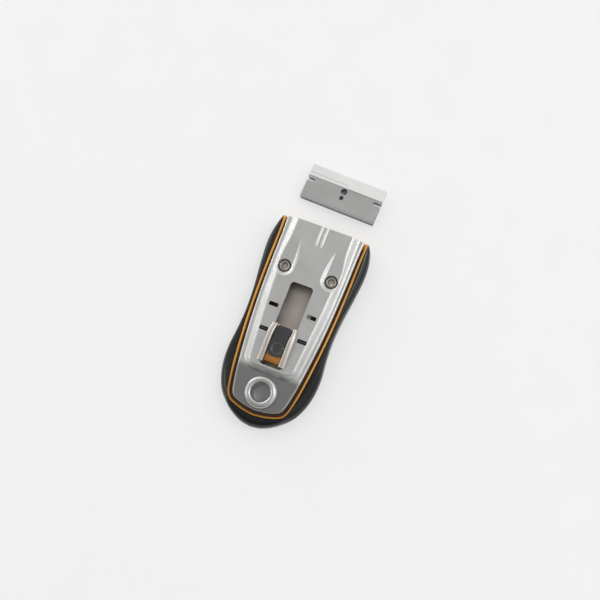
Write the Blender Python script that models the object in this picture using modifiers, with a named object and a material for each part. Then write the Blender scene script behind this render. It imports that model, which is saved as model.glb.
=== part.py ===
"""A hand scraper with a retracting single-edge blade, in metres, +Z up.

The scraper lies on its underside at z = 0 and its blade comes out towards +Y.
A stack of spare blades lies ahead of it on the same surface.
Distances along the tool are measured back from the front edge of its top plate.
The origin is at the middle of the whole box, on the surface.
"""

import math

import bmesh
import bpy
import numpy as np
from mathutils import Matrix, Vector

# Clearances
SEAT_GAP = 0.0003
FIT_GAP = 0.0001
CRIMP_GAP = 0.00008
RUNNING_GAP = 0.0004
OVERRUN = 0.002

# Blade: a ground steel leaf with a folded steel spine along its back
BLADE_WIDTH = 0.0400
BLADE_DEPTH = 0.0188
BLADE_SHEET = 0.00025
BLADE_TIP = 0.00005
GRIND_WIDTH = 0.0012
SPINE_DEPTH = 0.0064
SPINE_SHEET = 0.0003
KEYHOLE_SETBACK = 0.0085
KEYHOLE_RADIUS = 0.0017
KEYSLOT_HALF_WIDTH = 0.0010
KEYSLOT_START = 0.0024
KEYSLOT_LENGTH = 0.0022
SIDE_NOTCH_DEPTH = 0.0038
SIDE_NOTCH_HEIGHT = 0.0016

# Spare blades, a stack that lies free ahead of the mouth
SPARE_COUNT = 4
STACK_AHEAD = 0.0225
STACK_ASIDE = 0.0005
STACK_TURN = math.radians(-2.2)

# Travels
EDGE_SETBACK = 0.0016
CHANGE_MARGIN = 0.0006
WORKING_STROKE = 0.0126
PRESS_TRAVEL = 0.0009

# Sheet metal and plastic walls
BACK_SHEET = 0.0008
PLATE_SHEET = 0.0008
CARRIER_SHEET = 0.0007
CLAMP_SHEET = 0.00045
LEAF_SHEET = 0.0005
BOW_SHEET = 0.0004
SADDLE_SHEET = 0.0007
HOUSING_FLOOR = 0.0022
SLOT_WALL = 0.0008
LEDGE_UNDER_GROOVE = 0.0010

# Top plate
PLATE_SIDE_MARGIN = 0.0004
FLANGE_DROP = 0.0017
GROOVE_ROOM = 0.0010
CORNER_ROOM = 0.0006
PLATFORM_HEIGHT = 0.0025
PLATFORM_END_SLOPE = 0.0030
PLATFORM_REAR_MARGIN = 0.0009
RIM_WIDTH = 0.0024
CROWN_BOW = 0.0034
WINDOW_HALF_WIDTH = 0.00577
WINDOW_CORNER = 0.0018
WINDOW_REAR_ROOM = 0.0020
RIVET_TO_WINDOW = 0.0062
NOTCH_FROM_WINDOW = 0.00403
NOTCH_HALF_WIDTH = 0.00235
NOTCH_HALF_HEIGHT = 0.0010
POCKET_FLOOR_RADIUS = 0.0030
POCKET_RADIUS = 0.0042
POCKET_RUNOUT = 0.0058
PLATE_TO_RING = 0.0010
PLATFORM_TO_RING = 0.0008

# Tubular rivets and the hanging eyelet
RIVET_SHANK_RADIUS = 0.0019
RIVET_BORE_RADIUS = 0.0013
RIVET_HEAD_RADIUS = 0.0026
RIVET_HEAD_HEIGHT = 0.0006
FOOT_THICKNESS = 0.0004
FOOT_RECESS = 0.0002
EYELET_BORE_RADIUS = 0.0048
EYELET_WALL = 0.0006
EYELET_RING_RADIUS = 0.0080
EYELET_RING_HEIGHT = 0.0020
EYELET_FOOT_RADIUS = 0.0063

# Housing and grip
LIP_FRONT_MARGIN = 0.0019
LIP_REAR_MARGIN = 0.0025
BACK_PLATE_INSET = 0.0024
BACK_PLATE_SETBACK = 0.0030
GRIP_BULGE = 0.0059
GRIP_TAIL = 0.0078
GRIP_SHOULDER_DROP = 0.0003
HALL_SIDE_ROOM = 0.0009
FRONT_HALL_INSET = 0.0060
HALL_WALL = 0.0011

# Blade carrier and clamp
HEAD_INSET = 0.0030
HEAD_AHEAD_OF_HOLE = 0.0024
HEAD_BEHIND_BLADE = 0.0008
STEM_TO_RIVET = 0.0015
STEM_REAR_REACH = 0.0044
PEG_RADIUS = 0.0014
CLAMP_SIDE_STEP = 0.0010
CLAMP_TAIL = 0.0058
CLAMP_RIVET_RADIUS = 0.0012
CLAMP_HEAD_RADIUS = 0.0017
CLAMP_HEAD_HEIGHT = 0.0005

# Thumb slider
NECK_LENGTH = 0.0190
NECK_SIDE_GAP = 0.00047
NECK_CORNER = 0.0010
NECK_FRONT_ROOM = 0.0008
BOW_HEIGHT = 0.0024
BOW_SIDE_STEP = 0.0021
BOW_HALF_LENGTH = 0.0045
PIN_RADIUS = 0.0011
PIN_END_DISTANCE = 0.0016
PIN_STAND = 0.0013
LOCK_FROM_NECK_FRONT = 0.0046
LEAF_HALF_LENGTH = 0.0015
LEAF_PAST_TAB = 0.0003
LEAF_ABOVE_BLOCK_BASE = 0.0014
TAB_HALF_WIDTH = 0.0019
TAB_HALF_THICKNESS = 0.0005
TAB_BELOW_SURFACE = 0.0001
SADDLE_OVERHANG = 0.00153
SADDLE_HEIGHT = 0.0022
SADDLE_FRONT_SETBACK = 0.0003
SADDLE_REAR_OVERHANG = 0.0008
PAD_THICKNESS = 0.0006
PAD_CORNER = 0.0015
LIP_LENGTH = 0.0029
LIP_SIDE_STEP = 0.0014
LIP_RISE = 0.0013

# Places across, as shares of the plate's, the clamp's and the saddle's half width
RIVET_SHARE = 0.598
CLAMP_RIVET_SHARE = 0.6
PAD_SHARE = 0.48
# Outline shares: distance behind the front, then half width
PLATE_SHARES = (
    (0.0, 1.0), (0.10, 0.981), (0.25, 0.971), (0.41, 0.946), (0.57, 0.900), (0.72, 0.832),
    (0.84, 0.760), (0.92, 0.688), (0.950, 0.648), (0.968, 0.590), (0.980, 0.47), (0.993, 0.25), (1.0, 0.0),
)
GRIP_SHARES = (
    (0.010, 0.890), (0.024, 0.928), (0.080, 0.984), (0.152, 1.0), (0.26, 0.963), (0.385, 0.903),
    (0.50, 0.877), (0.59, 0.893), (0.68, 0.926), (0.76, 0.910), (0.835, 0.836), (0.90, 0.700),
    (0.957, 0.460), (0.990, 0.215), (1.0, 0.0),
)
# Platform half width as a share of the plate's half width, by distance share
PLATFORM_SHARES = ((0.0, 0.677), (0.21, 0.682), (0.42, 0.650), (0.57, 0.590), (0.68, 0.552), (0.83, 0.50))
# Width of the sloping sides as a share of the plate's half width
SLOPE_SHARES = ((0.0, 0.200), (0.42, 0.190), (0.60, 0.180), (0.83, 0.165))
# Grip section: share of the way from the outer outline to the pocket, share of its height
GRIP_SECTION_SHARES = (
    (0.46, 0.0), (0.17, 0.075), (0.03, 0.24), (0.0, 0.45), (0.09, 0.66), (0.32, 0.85), (0.65, 0.96),
    (0.93, 1.0),
)
# Saddle section: half width share, then height share above its web
SADDLE_SECTION_SHARES = (
    (0.0, 0.0), (0.49, 0.0), (0.58, 0.26), (0.64, 0.77), (0.75, 1.0), (0.90, 0.93), (1.0, 0.66),
)
# Saddle length: distance share and the share of the cheeks' height there
SADDLE_LENGTH_SHARES = ((0.0, 0.66), (0.14, 0.87), (0.35, 1.0), (0.6, 0.97), (0.85, 0.81), (1.0, 0.66))
# Plate grid columns, as shares between centre and platform edge, then across the slope
COLUMN_SHARES = (0.32, 0.60, 0.70, 0.79, 0.87, 0.94, 1.0)
SLOPE_COLUMN_SHARES = (0.25, 0.5, 0.75, 1.0)
RIM_COLUMN_SHARES = (1.0,)
# Eyelet ring section: radius share from barrel to rim, height share
RING_SECTION_SHARES = ((0.0, 0.40), (0.12, 0.80), (0.42, 1.0), (0.74, 0.86), (0.94, 0.45), (1.0, 0.0))
LOOP_STEPS = 30
ROUND_STEPS = 24
CORNER_STEPS = 3

# Places along the tool, back from the front edge of the plate
blade_back = EDGE_SETBACK + BLADE_DEPTH
slide_travel = blade_back + CHANGE_MARGIN
head_rear = blade_back + HEAD_BEHIND_BLADE
slot_rear = head_rear + RUNNING_GAP
rivet_hole_radius = RIVET_SHANK_RADIUS + SEAT_GAP
rivet_back = slot_rear + SLOT_WALL + rivet_hole_radius
window_front = rivet_back + RIVET_TO_WINDOW
neck_front = window_front + NECK_FRONT_ROOM + slide_travel
neck_rear = neck_front + NECK_LENGTH
window_rear = neck_rear + WINDOW_REAR_ROOM
lock_back = neck_front + LOCK_FROM_NECK_FRONT
upper_notch_back = lock_back - WORKING_STROKE
platform_rear = window_rear + PLATFORM_REAR_MARGIN
platform_foot = platform_rear + PLATFORM_END_SLOPE
hang_back = platform_foot + PLATFORM_TO_RING + EYELET_RING_RADIUS
plate_length = hang_back + EYELET_RING_RADIUS + PLATE_TO_RING
grip_length = plate_length + GRIP_TAIL
stem_rear = neck_rear + STEM_REAR_REACH
keyhole_back = blade_back - KEYHOLE_SETBACK
head_front = keyhole_back - HEAD_AHEAD_OF_HOLE

# Widths
blade_half_width = BLADE_WIDTH / 2
plate_half_width = blade_half_width + PLATE_SIDE_MARGIN
grip_half_width = plate_half_width + GRIP_BULGE
head_half_width = blade_half_width - HEAD_INSET
front_hall_half_width = blade_half_width - FRONT_HALL_INSET
rivet_aside = plate_half_width * RIVET_SHARE
stem_half_width = rivet_aside - rivet_hole_radius - STEM_TO_RIVET
clamp_half_width = stem_half_width - CLAMP_SIDE_STEP
clamp_rivet_aside = clamp_half_width * CLAMP_RIVET_SHARE
notch_aside = WINDOW_HALF_WIDTH + NOTCH_FROM_WINDOW
leaf_half_width = notch_aside + TAB_HALF_WIDTH + LEAF_PAST_TAB
hall_half_width = leaf_half_width + HALL_SIDE_ROOM
neck_half_width = WINDOW_HALF_WIDTH - NECK_SIDE_GAP
bow_half_width = neck_half_width - BOW_SIDE_STEP
lip_half_width = neck_half_width - LIP_SIDE_STEP
saddle_half_width = WINDOW_HALF_WIDTH + SADDLE_OVERHANG
pad_half_width = saddle_half_width * PAD_SHARE
eyelet_barrel_radius = EYELET_BORE_RADIUS + EYELET_WALL
eyelet_hole_radius = eyelet_barrel_radius + SEAT_GAP

# Heights
back_low = FOOT_RECESS + FOOT_THICKNESS + SEAT_GAP
back_high = back_low + BACK_SHEET
housing_low = back_high + SEAT_GAP
slot_floor = housing_low + HOUSING_FLOOR
carrier_low = slot_floor + SEAT_GAP
carrier_high = carrier_low + CARRIER_SHEET
spine_thickness = BLADE_SHEET + 2 * (CRIMP_GAP + SPINE_SHEET)
spine_low = carrier_high + SEAT_GAP
clamp_low = spine_low + spine_thickness + SEAT_GAP
clamp_high = clamp_low + CLAMP_SHEET
slot_ceiling = clamp_high + SEAT_GAP
groove_floor = slot_ceiling + LEDGE_UNDER_GROOVE
rim_high = groove_floor + SEAT_GAP + FLANGE_DROP
seat_high = rim_high - PLATE_SHEET - SEAT_GAP
platform_high = rim_high + PLATFORM_HEIGHT
grip_high = seat_high - GRIP_SHOULDER_DROP
bow_low = carrier_high + SEAT_GAP
block_low = bow_low + BOW_HEIGHT + SEAT_GAP
pin_high = block_low + PIN_STAND
leaf_low = block_low + LEAF_ABOVE_BLOCK_BASE
leaf_high = leaf_low + LEAF_SHEET
block_high = platform_high - SEAT_GAP
saddle_low = block_high + SEAT_GAP
web_high = saddle_low + SADDLE_SHEET
head_low = rim_high + SEAT_GAP

# The box's middle lies at y = 0
stack_half_reach = BLADE_DEPTH / 2 * math.cos(STACK_TURN) + blade_half_width * abs(math.sin(STACK_TURN))
front_y = (grip_length - STACK_AHEAD - stack_half_reach) / 2


def y_at(distance):
    """World y of a place that lies the given distance behind the front edge."""
    return front_y - distance


def start_collection(name):
    """A fresh collection in the scene."""
    collection = bpy.data.collections.new(name)
    bpy.context.scene.collection.children.link(collection)
    return collection


for old in list(bpy.data.objects):
    bpy.data.objects.remove(old, do_unlink=True)
parts = start_collection("metal_scraper")
cutters = start_collection("cutters")


def store(piece, collection):
    """Keep a piece in one collection only."""
    for holder in list(piece.users_collection):
        holder.objects.unlink(piece)
    collection.objects.link(piece)
    return piece


def plain_material(name, colour, roughness, metallic):
    """One Principled finish."""
    material = bpy.data.materials.new(name)
    material.use_nodes = True
    shader = material.node_tree.nodes["Principled BSDF"]
    shader.inputs["Base Color"].default_value = (*colour, 1.0)
    shader.inputs["Roughness"].default_value = roughness
    shader.inputs["Metallic"].default_value = metallic
    return material


def finished(piece, material):
    """A part of the object, with its finish."""
    piece.data.materials.clear()
    piece.data.materials.append(material)
    return store(piece, parts)


def as_cutter(piece):
    """A hidden tool that only cuts or joins."""
    piece.hide_render = True
    piece.display_type = "WIRE"
    return store(piece, cutters)


def combine(piece, tool, operation="DIFFERENCE"):
    """Cut a tool out of a piece, or join it on."""
    modifier = piece.modifiers.new(tool.name, "BOOLEAN")
    modifier.operation = operation
    modifier.solver = "EXACT"
    modifier.object = as_cutter(tool)
    return piece


def box(name, low, high):
    """A block between two corners."""
    bpy.ops.mesh.primitive_cube_add(size=1)
    piece = bpy.context.object
    piece.name = name
    low = Vector(low)
    high = Vector(high)
    piece.data.transform(Matrix.LocRotScale((low + high) / 2, None, high - low))
    return piece


def cylinder(name, centre, radius, low, high):
    """An upright cylinder between two heights."""
    bpy.ops.mesh.primitive_cylinder_add(vertices=ROUND_STEPS, radius=radius, depth=high - low)
    piece = bpy.context.object
    piece.name = name
    half_step = Matrix.Rotation(math.pi / ROUND_STEPS, 4, "Z")
    piece.data.transform(Matrix.Translation((centre[0], centre[1], (low + high) / 2)) @ half_step)
    smooth(piece)
    return piece


def smooth(piece):
    """Round faces shade smooth, with edges kept sharp past 40 degrees."""
    piece.data.shade_smooth()
    piece.data.set_sharp_from_angle(angle=math.radians(40))


def slab(name, loop, low, high):
    """A flat outline in the ground plane, filled and extruded between two heights."""
    return extrusion(name, loop, high - low, Matrix.Translation((0, 0, (low + high) / 2)))


def cross_section(name, loop, half_width):
    """An outline of (y, z) points, extruded along X about the middle."""
    turn = Matrix(((0, 0, 1, 0), (1, 0, 0, 0), (0, 1, 0, 0), (0, 0, 0, 1)))
    return extrusion(name, loop, 2 * half_width, turn)


def extrusion(name, loop, thickness, placing):
    """A filled 2D curve of the given thickness, made a closed mesh."""
    curve = bpy.data.curves.new(name + "_outline", "CURVE")
    curve.dimensions = "2D"
    curve.fill_mode = "BOTH"
    curve.extrude = thickness / 2
    spline = curve.splines.new("POLY")
    spline.points.add(len(loop) - 1)
    for point, place in zip(spline.points, loop):
        point.co = (place[0], place[1], 0, 1)
    spline.use_cyclic_u = True
    guide = bpy.data.objects.new(name + "_curve", curve)
    parts.objects.link(guide)
    guide.matrix_world = placing
    bpy.context.view_layer.update()
    mesh = bpy.data.meshes.new_from_object(guide.evaluated_get(bpy.context.evaluated_depsgraph_get()))
    mesh.transform(guide.matrix_world)
    bpy.data.objects.remove(guide)
    work = bmesh.new()
    work.from_mesh(mesh)
    bmesh.ops.remove_doubles(work, verts=work.verts, dist=FIT_GAP / 10)
    bmesh.ops.recalc_face_normals(work, faces=work.faces)
    work.to_mesh(mesh)
    work.free()
    piece = bpy.data.objects.new(name, mesh)
    parts.objects.link(piece)
    return piece


def turned(name, profile, centre, closed=True):
    """A profile of (radius, height) points, down its outer side, turned about an upright axis."""
    mesh = bpy.data.meshes.new(name)
    edges = [(index, index + 1) for index in range(len(profile) - 1)]
    if closed:
        edges.append((len(profile) - 1, 0))
    mesh.from_pydata([(radius, 0, height) for radius, height in profile], edges, [])
    piece = bpy.data.objects.new(name, mesh)
    parts.objects.link(piece)
    piece.location = (centre[0], centre[1], 0)
    screw = piece.modifiers.new("turn", "SCREW")
    screw.axis = "Z"
    screw.angle = math.tau
    screw.steps = ROUND_STEPS
    screw.render_steps = ROUND_STEPS
    screw.use_merge_vertices = True
    screw.merge_threshold = FIT_GAP / 10
    screw.use_smooth_shade = True
    return piece


def smooth_path(points, steps):
    """Points spaced evenly on a smooth curve through the given ones."""
    knots = np.array(points)
    padded = np.vstack([2 * knots[0] - knots[1], knots, 2 * knots[-1] - knots[-2]])
    dense = []
    for index in range(len(knots) - 1):
        before, start, end, after = padded[index:index + 4]
        for share in np.linspace(0, 1, 12, endpoint=False):
            dense.append(
                (2 * start + (end - before) * share
                 + (2 * before - 5 * start + 4 * end - after) * share ** 2
                 + (3 * start - before - 3 * end + after) * share ** 3) / 2
            )
    dense.append(knots[-1])
    dense = np.array(dense)
    run = np.concatenate([[0], np.cumsum(np.linalg.norm(np.diff(dense, axis=0), axis=1))])
    places = np.linspace(0, run[-1], steps)
    return np.column_stack([np.interp(places, run, dense[:, axis]) for axis in range(2)])


def side_path(shares, length, half_width):
    """The right-hand side of an outline, from its front corner to the middle of its tail."""
    points = [(width * half_width, y_at(distance * length)) for distance, width in shares]
    return smooth_path(points, LOOP_STEPS)


def closed_loop(side):
    """A side path and its mirror image, joined across the front."""
    mirrored = side[-2::-1] * np.array((-1, 1))
    return np.vstack([side, mirrored])


def grown(loop, front_margin, rear_margin, front_limit):
    """An outline moved outwards, with its front edge held at a given y."""
    before = np.roll(loop, 1, axis=0)
    after = np.roll(loop, -1, axis=0)
    into = (loop - before) / np.linalg.norm(loop - before, axis=1)[:, None]
    out = (after - loop) / np.linalg.norm(after - loop, axis=1)[:, None]
    normal = np.column_stack([-(into + out)[:, 1], (into + out)[:, 0]])
    normal /= (1 + np.sum(into * out, axis=1))[:, None]
    share = (loop[:, 1].max() - loop[:, 1]) / np.ptp(loop[:, 1])
    moved = loop + normal * (front_margin + (rear_margin - front_margin) * share)[:, None]
    front = loop[:, 1] > loop[:, 1].max() - FIT_GAP
    moved[front, 1] = front_limit
    moved[:, 1] = np.minimum(moved[:, 1], front_limit)
    return moved


plate_loop = closed_loop(side_path(PLATE_SHARES, plate_length, plate_half_width))
housing_loop = grown(plate_loop, LIP_FRONT_MARGIN, LIP_REAR_MARGIN, y_at(0))
grip_loop = closed_loop(side_path(GRIP_SHARES, grip_length, grip_half_width))


def lofted(name, rings):
    """A closed body through rings of matching points, bottom to top."""
    work = bmesh.new()
    rows = [[work.verts.new(place) for place in ring] for ring in rings]
    count = len(rows[0])
    for low, high in zip(rows, rows[1:]):
        for index in range(count):
            after = (index + 1) % count
            work.faces.new((low[index], low[after], high[after], high[index]))
    work.faces.new(rows[0])
    work.faces.new(rows[-1])
    bmesh.ops.recalc_face_normals(work, faces=work.faces)
    mesh = bpy.data.meshes.new(name)
    work.to_mesh(mesh)
    work.free()
    piece = bpy.data.objects.new(name, mesh)
    parts.objects.link(piece)
    smooth(piece)
    return piece


def rounded_rectangle(half_width, low, high, radius):
    """A loop with four round corners, centred on x = 0."""
    loop = []
    corners = ((1, high, 0), (-1, high, 1), (-1, low, 2), (1, low, 3))
    for side, edge, quarter in corners:
        inward = -1 if edge == high else 1
        for step in range(CORNER_STEPS + 1):
            angle = (quarter + step / CORNER_STEPS) * math.pi / 2
            x = side * (half_width - radius) + radius * math.cos(angle)
            y = edge + inward * radius + radius * math.sin(angle)
            loop.append((x, y))
    return loop


def make_grip():
    """Moulded grip: an open-fronted ring with rounded wings and a floor that carries the housing."""
    pocket = grown(housing_loop, SEAT_GAP, SEAT_GAP, y_at(0))
    rings = []
    for inward, height in GRIP_SECTION_SHARES:
        ring = grip_loop + (pocket - grip_loop) * inward
        rings.append([(x, y, height * grip_high) for x, y in ring])
    grip = lofted("grip", rings)
    room = grown(housing_loop, SEAT_GAP, SEAT_GAP, y_at(-OVERRUN))
    combine(grip, slab("grip_pocket", room, back_high, seat_high + OVERRUN))
    inset = SEAT_GAP - BACK_PLATE_INSET
    window = grown(plate_loop, inset, inset, y_at(BACK_PLATE_SETBACK - SEAT_GAP))
    combine(grip, slab("grip_window", window, -OVERRUN, back_high + OVERRUN))
    return finished(grip, plain_material("black_grip", (0.02, 0.02, 0.022), 0.35, 0.0))


def cut_fastener_holes(piece, low, high):
    """Holes for the two rivets and the hanging eyelet."""
    for side, label in ((-1, "left"), (1, "right")):
        centre = (side * rivet_aside, y_at(rivet_back))
        combine(piece, cylinder(f"{piece.name}_{label}_hole", centre, rivet_hole_radius, low, high))
    centre = (0, y_at(hang_back))
    combine(piece, cylinder(f"{piece.name}_hang_hole", centre, eyelet_hole_radius, low, high))


def make_housing():
    """Inner housing: holds the blade slot and the slide channel, and shows as a rim round the plate."""
    housing = slab("inner_housing", housing_loop, housing_low, seat_high)
    over = seat_high + OVERRUN
    ahead = y_at(-OVERRUN)
    groove = slab("rim_groove", grown(plate_loop, GROOVE_ROOM, GROOVE_ROOM, ahead), groove_floor, over)
    inset = -PLATE_SHEET - SEAT_GAP
    core_loop = grown(plate_loop, inset, inset - CORNER_ROOM, y_at(-2 * OVERRUN))
    core = slab("rim_core", core_loop, groove_floor - OVERRUN, over + OVERRUN)
    combine(housing, combine(groove, core))
    slot_half = blade_half_width + SEAT_GAP
    slot = box("blade_slot", (-slot_half, y_at(slot_rear), slot_floor), (slot_half, ahead, slot_ceiling))
    combine(housing, slot)
    stem_half = stem_half_width + SEAT_GAP
    stem_end = y_at(stem_rear + SEAT_GAP)
    combine(housing, box("stem_channel", (-stem_half, stem_end, slot_floor), (stem_half, ahead, over)))
    front_end = y_at(slot_rear - HALL_WALL)
    front_low = (-front_hall_half_width, front_end, slot_ceiling - SEAT_GAP)
    combine(housing, box("front_hall", front_low, (front_hall_half_width, ahead, over)))
    hall_start = y_at(rivet_back + rivet_hole_radius + HALL_WALL)
    hall_low = (-hall_half_width, y_at(window_rear + HALL_WALL), slot_ceiling)
    combine(housing, box("rear_hall", hall_low, (hall_half_width, hall_start, over)))
    cut_fastener_holes(housing, housing_low - OVERRUN, over)
    return finished(housing, plain_material("orange_plastic", (0.75, 0.33, 0.05), 0.4, 0.0))


def make_back_plate():
    """Flat steel plate under the housing, clamped by the rivets and the eyelet."""
    loop = grown(plate_loop, -BACK_PLATE_INSET, -BACK_PLATE_INSET, y_at(BACK_PLATE_SETBACK))
    plate = slab("back_plate", loop, back_low, back_high)
    cut_fastener_holes(plate, back_low - OVERRUN, back_high + OVERRUN)
    return finished(plate, plain_material("back_steel", (0.50, 0.50, 0.49), 0.35, 1.0))


def share_at(shares, distance):
    """A value read from a table of shares at a distance behind the front."""
    places, values = zip(*shares)
    return float(np.interp(distance / plate_length, places, values))


def plate_half_at(distance):
    """Half width of the top plate's straight stretch at a distance behind the front."""
    side = plate_loop[:LOOP_STEPS]
    return float(np.interp(distance, y_at(side[:, 1]), side[:, 0]))


def pocket_height(x, distance, height):
    """The pressed surface round a rivet: a round floor, a steep rear and a runout to the front."""
    along = rivet_back - distance
    across = abs(x) - rivet_aside
    if along > 0:
        along *= POCKET_RADIUS / POCKET_RUNOUT
    away = math.hypot(across, along)
    rise = (away - POCKET_FLOOR_RADIUS) / (POCKET_RADIUS - POCKET_FLOOR_RADIUS)
    return min(height, rim_high + PLATFORM_HEIGHT * max(0, rise))


def plate_rows():
    """Distances of the top plate's rows of points, closer together round the rivets."""
    pocket_start = rivet_back - POCKET_RUNOUT
    pocket_end = rivet_back + POCKET_RADIUS
    rows = list(np.linspace(0, pocket_start, 4)) + list(np.linspace(pocket_start, pocket_end, 11)[1:])
    rows += list(np.linspace(pocket_end, platform_rear, 8)[1:])
    rows += [platform_foot]
    rows += list(np.linspace(platform_foot, plate_length - CROWN_BOW, 5)[1:])
    return rows


def plate_columns():
    """Columns from the left edge to the right: (zone, share in the zone, side)."""
    half = [("platform", share) for share in COLUMN_SHARES]
    half += [("slope", share) for share in SLOPE_COLUMN_SHARES]
    half += [("rim", share) for share in RIM_COLUMN_SHARES]
    left = [(zone, share, -1) for zone, share in reversed(half)]
    return left + [("platform", 0.0, 1)] + [(zone, share, 1) for zone, share in half]


def plate_point(distance, column):
    """One point on the top plate's upper surface."""
    zone, share, side = column
    edge = plate_half_at(distance)
    platform = plate_half_width * share_at(PLATFORM_SHARES, distance)
    slope = plate_half_width * share_at(SLOPE_SHARES, distance)
    foot = min(platform + slope, edge - RIM_WIDTH / 2)
    x = {"platform": platform * share, "slope": platform + (foot - platform) * share, "rim": edge}[zone]
    rise = {"platform": 1.0, "slope": 1.0 - share, "rim": 0.0}[zone]
    if distance > platform_rear:
        rise = 0.0
    height = pocket_height(x, distance, rim_high + PLATFORM_HEIGHT * rise)
    bend = min(1.0, max(0.0, (distance - platform_foot) / (plate_length - CROWN_BOW - platform_foot)))
    back = distance + CROWN_BOW * bend * bend * (1 - (x / edge) ** 2)
    return (side * x, y_at(back), height)


def make_top_plate():
    """Pressed steel cover: a raised platform, sloping sides, rivet pockets and a turned-down edge."""
    rows = plate_rows()
    columns = plate_columns()
    bpy.ops.mesh.primitive_grid_add(x_subdivisions=len(columns) - 1, y_subdivisions=len(rows) - 1, size=1)
    plate = bpy.context.object
    plate.name = "top_plate"
    for vertex in plate.data.vertices:
        column = round((vertex.co.x + 1 / 2) * (len(columns) - 1))
        row = round((1 / 2 - vertex.co.y) * (len(rows) - 1))
        vertex.co = plate_point(rows[row], columns[column])
    work = bmesh.new()
    work.from_mesh(plate.data)
    rim = [edge for edge in work.edges if edge.is_boundary and not is_front_edge(edge)]
    turned_edge = bmesh.ops.extrude_edge_only(work, edges=rim)["geom"]
    lower = [item for item in turned_edge if isinstance(item, bmesh.types.BMVert)]
    bmesh.ops.translate(work, verts=lower, vec=(0, 0, -FLANGE_DROP))
    bmesh.ops.recalc_face_normals(work, faces=work.faces)
    top = max(work.faces, key=lambda face: face.calc_center_median().z)
    if top.normal.z < 0:
        bmesh.ops.reverse_faces(work, faces=work.faces)
    work.to_mesh(plate.data)
    work.free()
    wall = plate.modifiers.new("sheet", "SOLIDIFY")
    wall.thickness = PLATE_SHEET
    wall.offset = -1
    wall.use_even_offset = True
    low = seat_high - OVERRUN
    high = platform_high + OVERRUN
    window = rounded_rectangle(WINDOW_HALF_WIDTH, y_at(window_rear), y_at(window_front), WINDOW_CORNER)
    combine(plate, slab("window", window, low, high))
    for back, label in ((lock_back, "lower"), (upper_notch_back, "upper")):
        for side in (-1, 1):
            near = (side * notch_aside - NOTCH_HALF_WIDTH, y_at(back) - NOTCH_HALF_HEIGHT, low)
            far = (side * notch_aside + NOTCH_HALF_WIDTH, y_at(back) + NOTCH_HALF_HEIGHT, high)
            combine(plate, box(f"{label}_notch_{side + 1}", near, far))
    cut_fastener_holes(plate, low, high)
    return finished(plate, plain_material("stainless_plate", (0.60, 0.60, 0.59), 0.28, 1.0))


def is_front_edge(edge):
    """Whether an edge lies along the plate's open front."""
    return all(vertex.co.y > y_at(FIT_GAP) for vertex in edge.verts)


def make_rivet(side, label):
    """Tubular rivet, rolled over in its pocket and against the back plate."""
    head_high = head_low + RIVET_HEAD_HEIGHT
    middle = (RIVET_BORE_RADIUS + RIVET_HEAD_RADIUS) / 2
    foot_high = FOOT_RECESS + FOOT_THICKNESS
    profile = (
        (RIVET_BORE_RADIUS, (head_low + head_high) / 2), (middle, head_high),
        (RIVET_HEAD_RADIUS, (head_low + head_high) / 2), (RIVET_HEAD_RADIUS, head_low),
        (RIVET_SHANK_RADIUS, head_low), (RIVET_SHANK_RADIUS, foot_high),
        (RIVET_HEAD_RADIUS, foot_high), (RIVET_HEAD_RADIUS, FOOT_RECESS), (RIVET_BORE_RADIUS, FOOT_RECESS),
    )
    rivet = turned(f"rivet_{label}", profile, (side * rivet_aside, y_at(rivet_back)))
    return finished(rivet, plain_material(f"rivet_steel_{label}", (0.55, 0.53, 0.50), 0.3, 1.0))


def make_eyelet():
    """Large eyelet that lines the hanging hole and clamps the rear of the stack."""
    reach = EYELET_RING_RADIUS - EYELET_BORE_RADIUS
    profile = [
        (EYELET_BORE_RADIUS + share * reach, head_low + height * EYELET_RING_HEIGHT)
        for share, height in RING_SECTION_SHARES
    ]
    foot_high = FOOT_RECESS + FOOT_THICKNESS
    profile += [
        (eyelet_barrel_radius, head_low), (eyelet_barrel_radius, foot_high),
        (EYELET_FOOT_RADIUS, foot_high), (EYELET_FOOT_RADIUS, FOOT_RECESS), (EYELET_BORE_RADIUS, FOOT_RECESS),
    ]
    eyelet = turned("hang_eyelet", profile, (0, y_at(hang_back)))
    return finished(eyelet, plain_material("eyelet_steel", (0.66, 0.66, 0.64), 0.22, 1.0))


def make_carrier():
    """Blade carrier: a T-shaped steel strip that slides in the housing."""
    carrier = box(
        "blade_carrier", (-head_half_width, y_at(head_rear), carrier_low),
        (head_half_width, y_at(head_front), carrier_high),
    )
    stem_low = (-stem_half_width, y_at(stem_rear), carrier_low)
    combine(carrier, box("stem", stem_low, (stem_half_width, y_at(keyhole_back), carrier_high)), "UNION")
    low = carrier_low - OVERRUN
    high = carrier_high + OVERRUN
    combine(carrier, cylinder("peg_hole", (0, y_at(keyhole_back)), PEG_RADIUS + FIT_GAP, low, high))
    for label, back in pin_places():
        combine(carrier, cylinder(f"pin_hole_{label}", (0, y_at(back)), PIN_RADIUS + FIT_GAP, low, high))
    for side in (-1, 1):
        centre = (side * clamp_rivet_aside, y_at(clamp_rivet_back()))
        combine(carrier, cylinder(f"clamp_hole_{side + 1}", centre, CLAMP_RIVET_RADIUS + FIT_GAP, low, high))
    return finished(carrier, plain_material("carrier_steel", (0.42, 0.40, 0.37), 0.4, 1.0))


def pin_places():
    """The guide pins' distances behind the front."""
    return (("front", neck_front + PIN_END_DISTANCE), ("rear", neck_rear - PIN_END_DISTANCE))


def clamp_rivet_back():
    """The clamp rivets' distance behind the front."""
    return head_rear + CLAMP_TAIL / 2


def make_peg():
    """Peg riveted in the carrier that holds the loaded blade by its keyhole."""
    peg = cylinder("blade_peg", (0, y_at(keyhole_back)), PEG_RADIUS, carrier_low, clamp_low - SEAT_GAP)
    return finished(peg, plain_material("peg_steel", (0.5, 0.5, 0.5), 0.3, 1.0))


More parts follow.
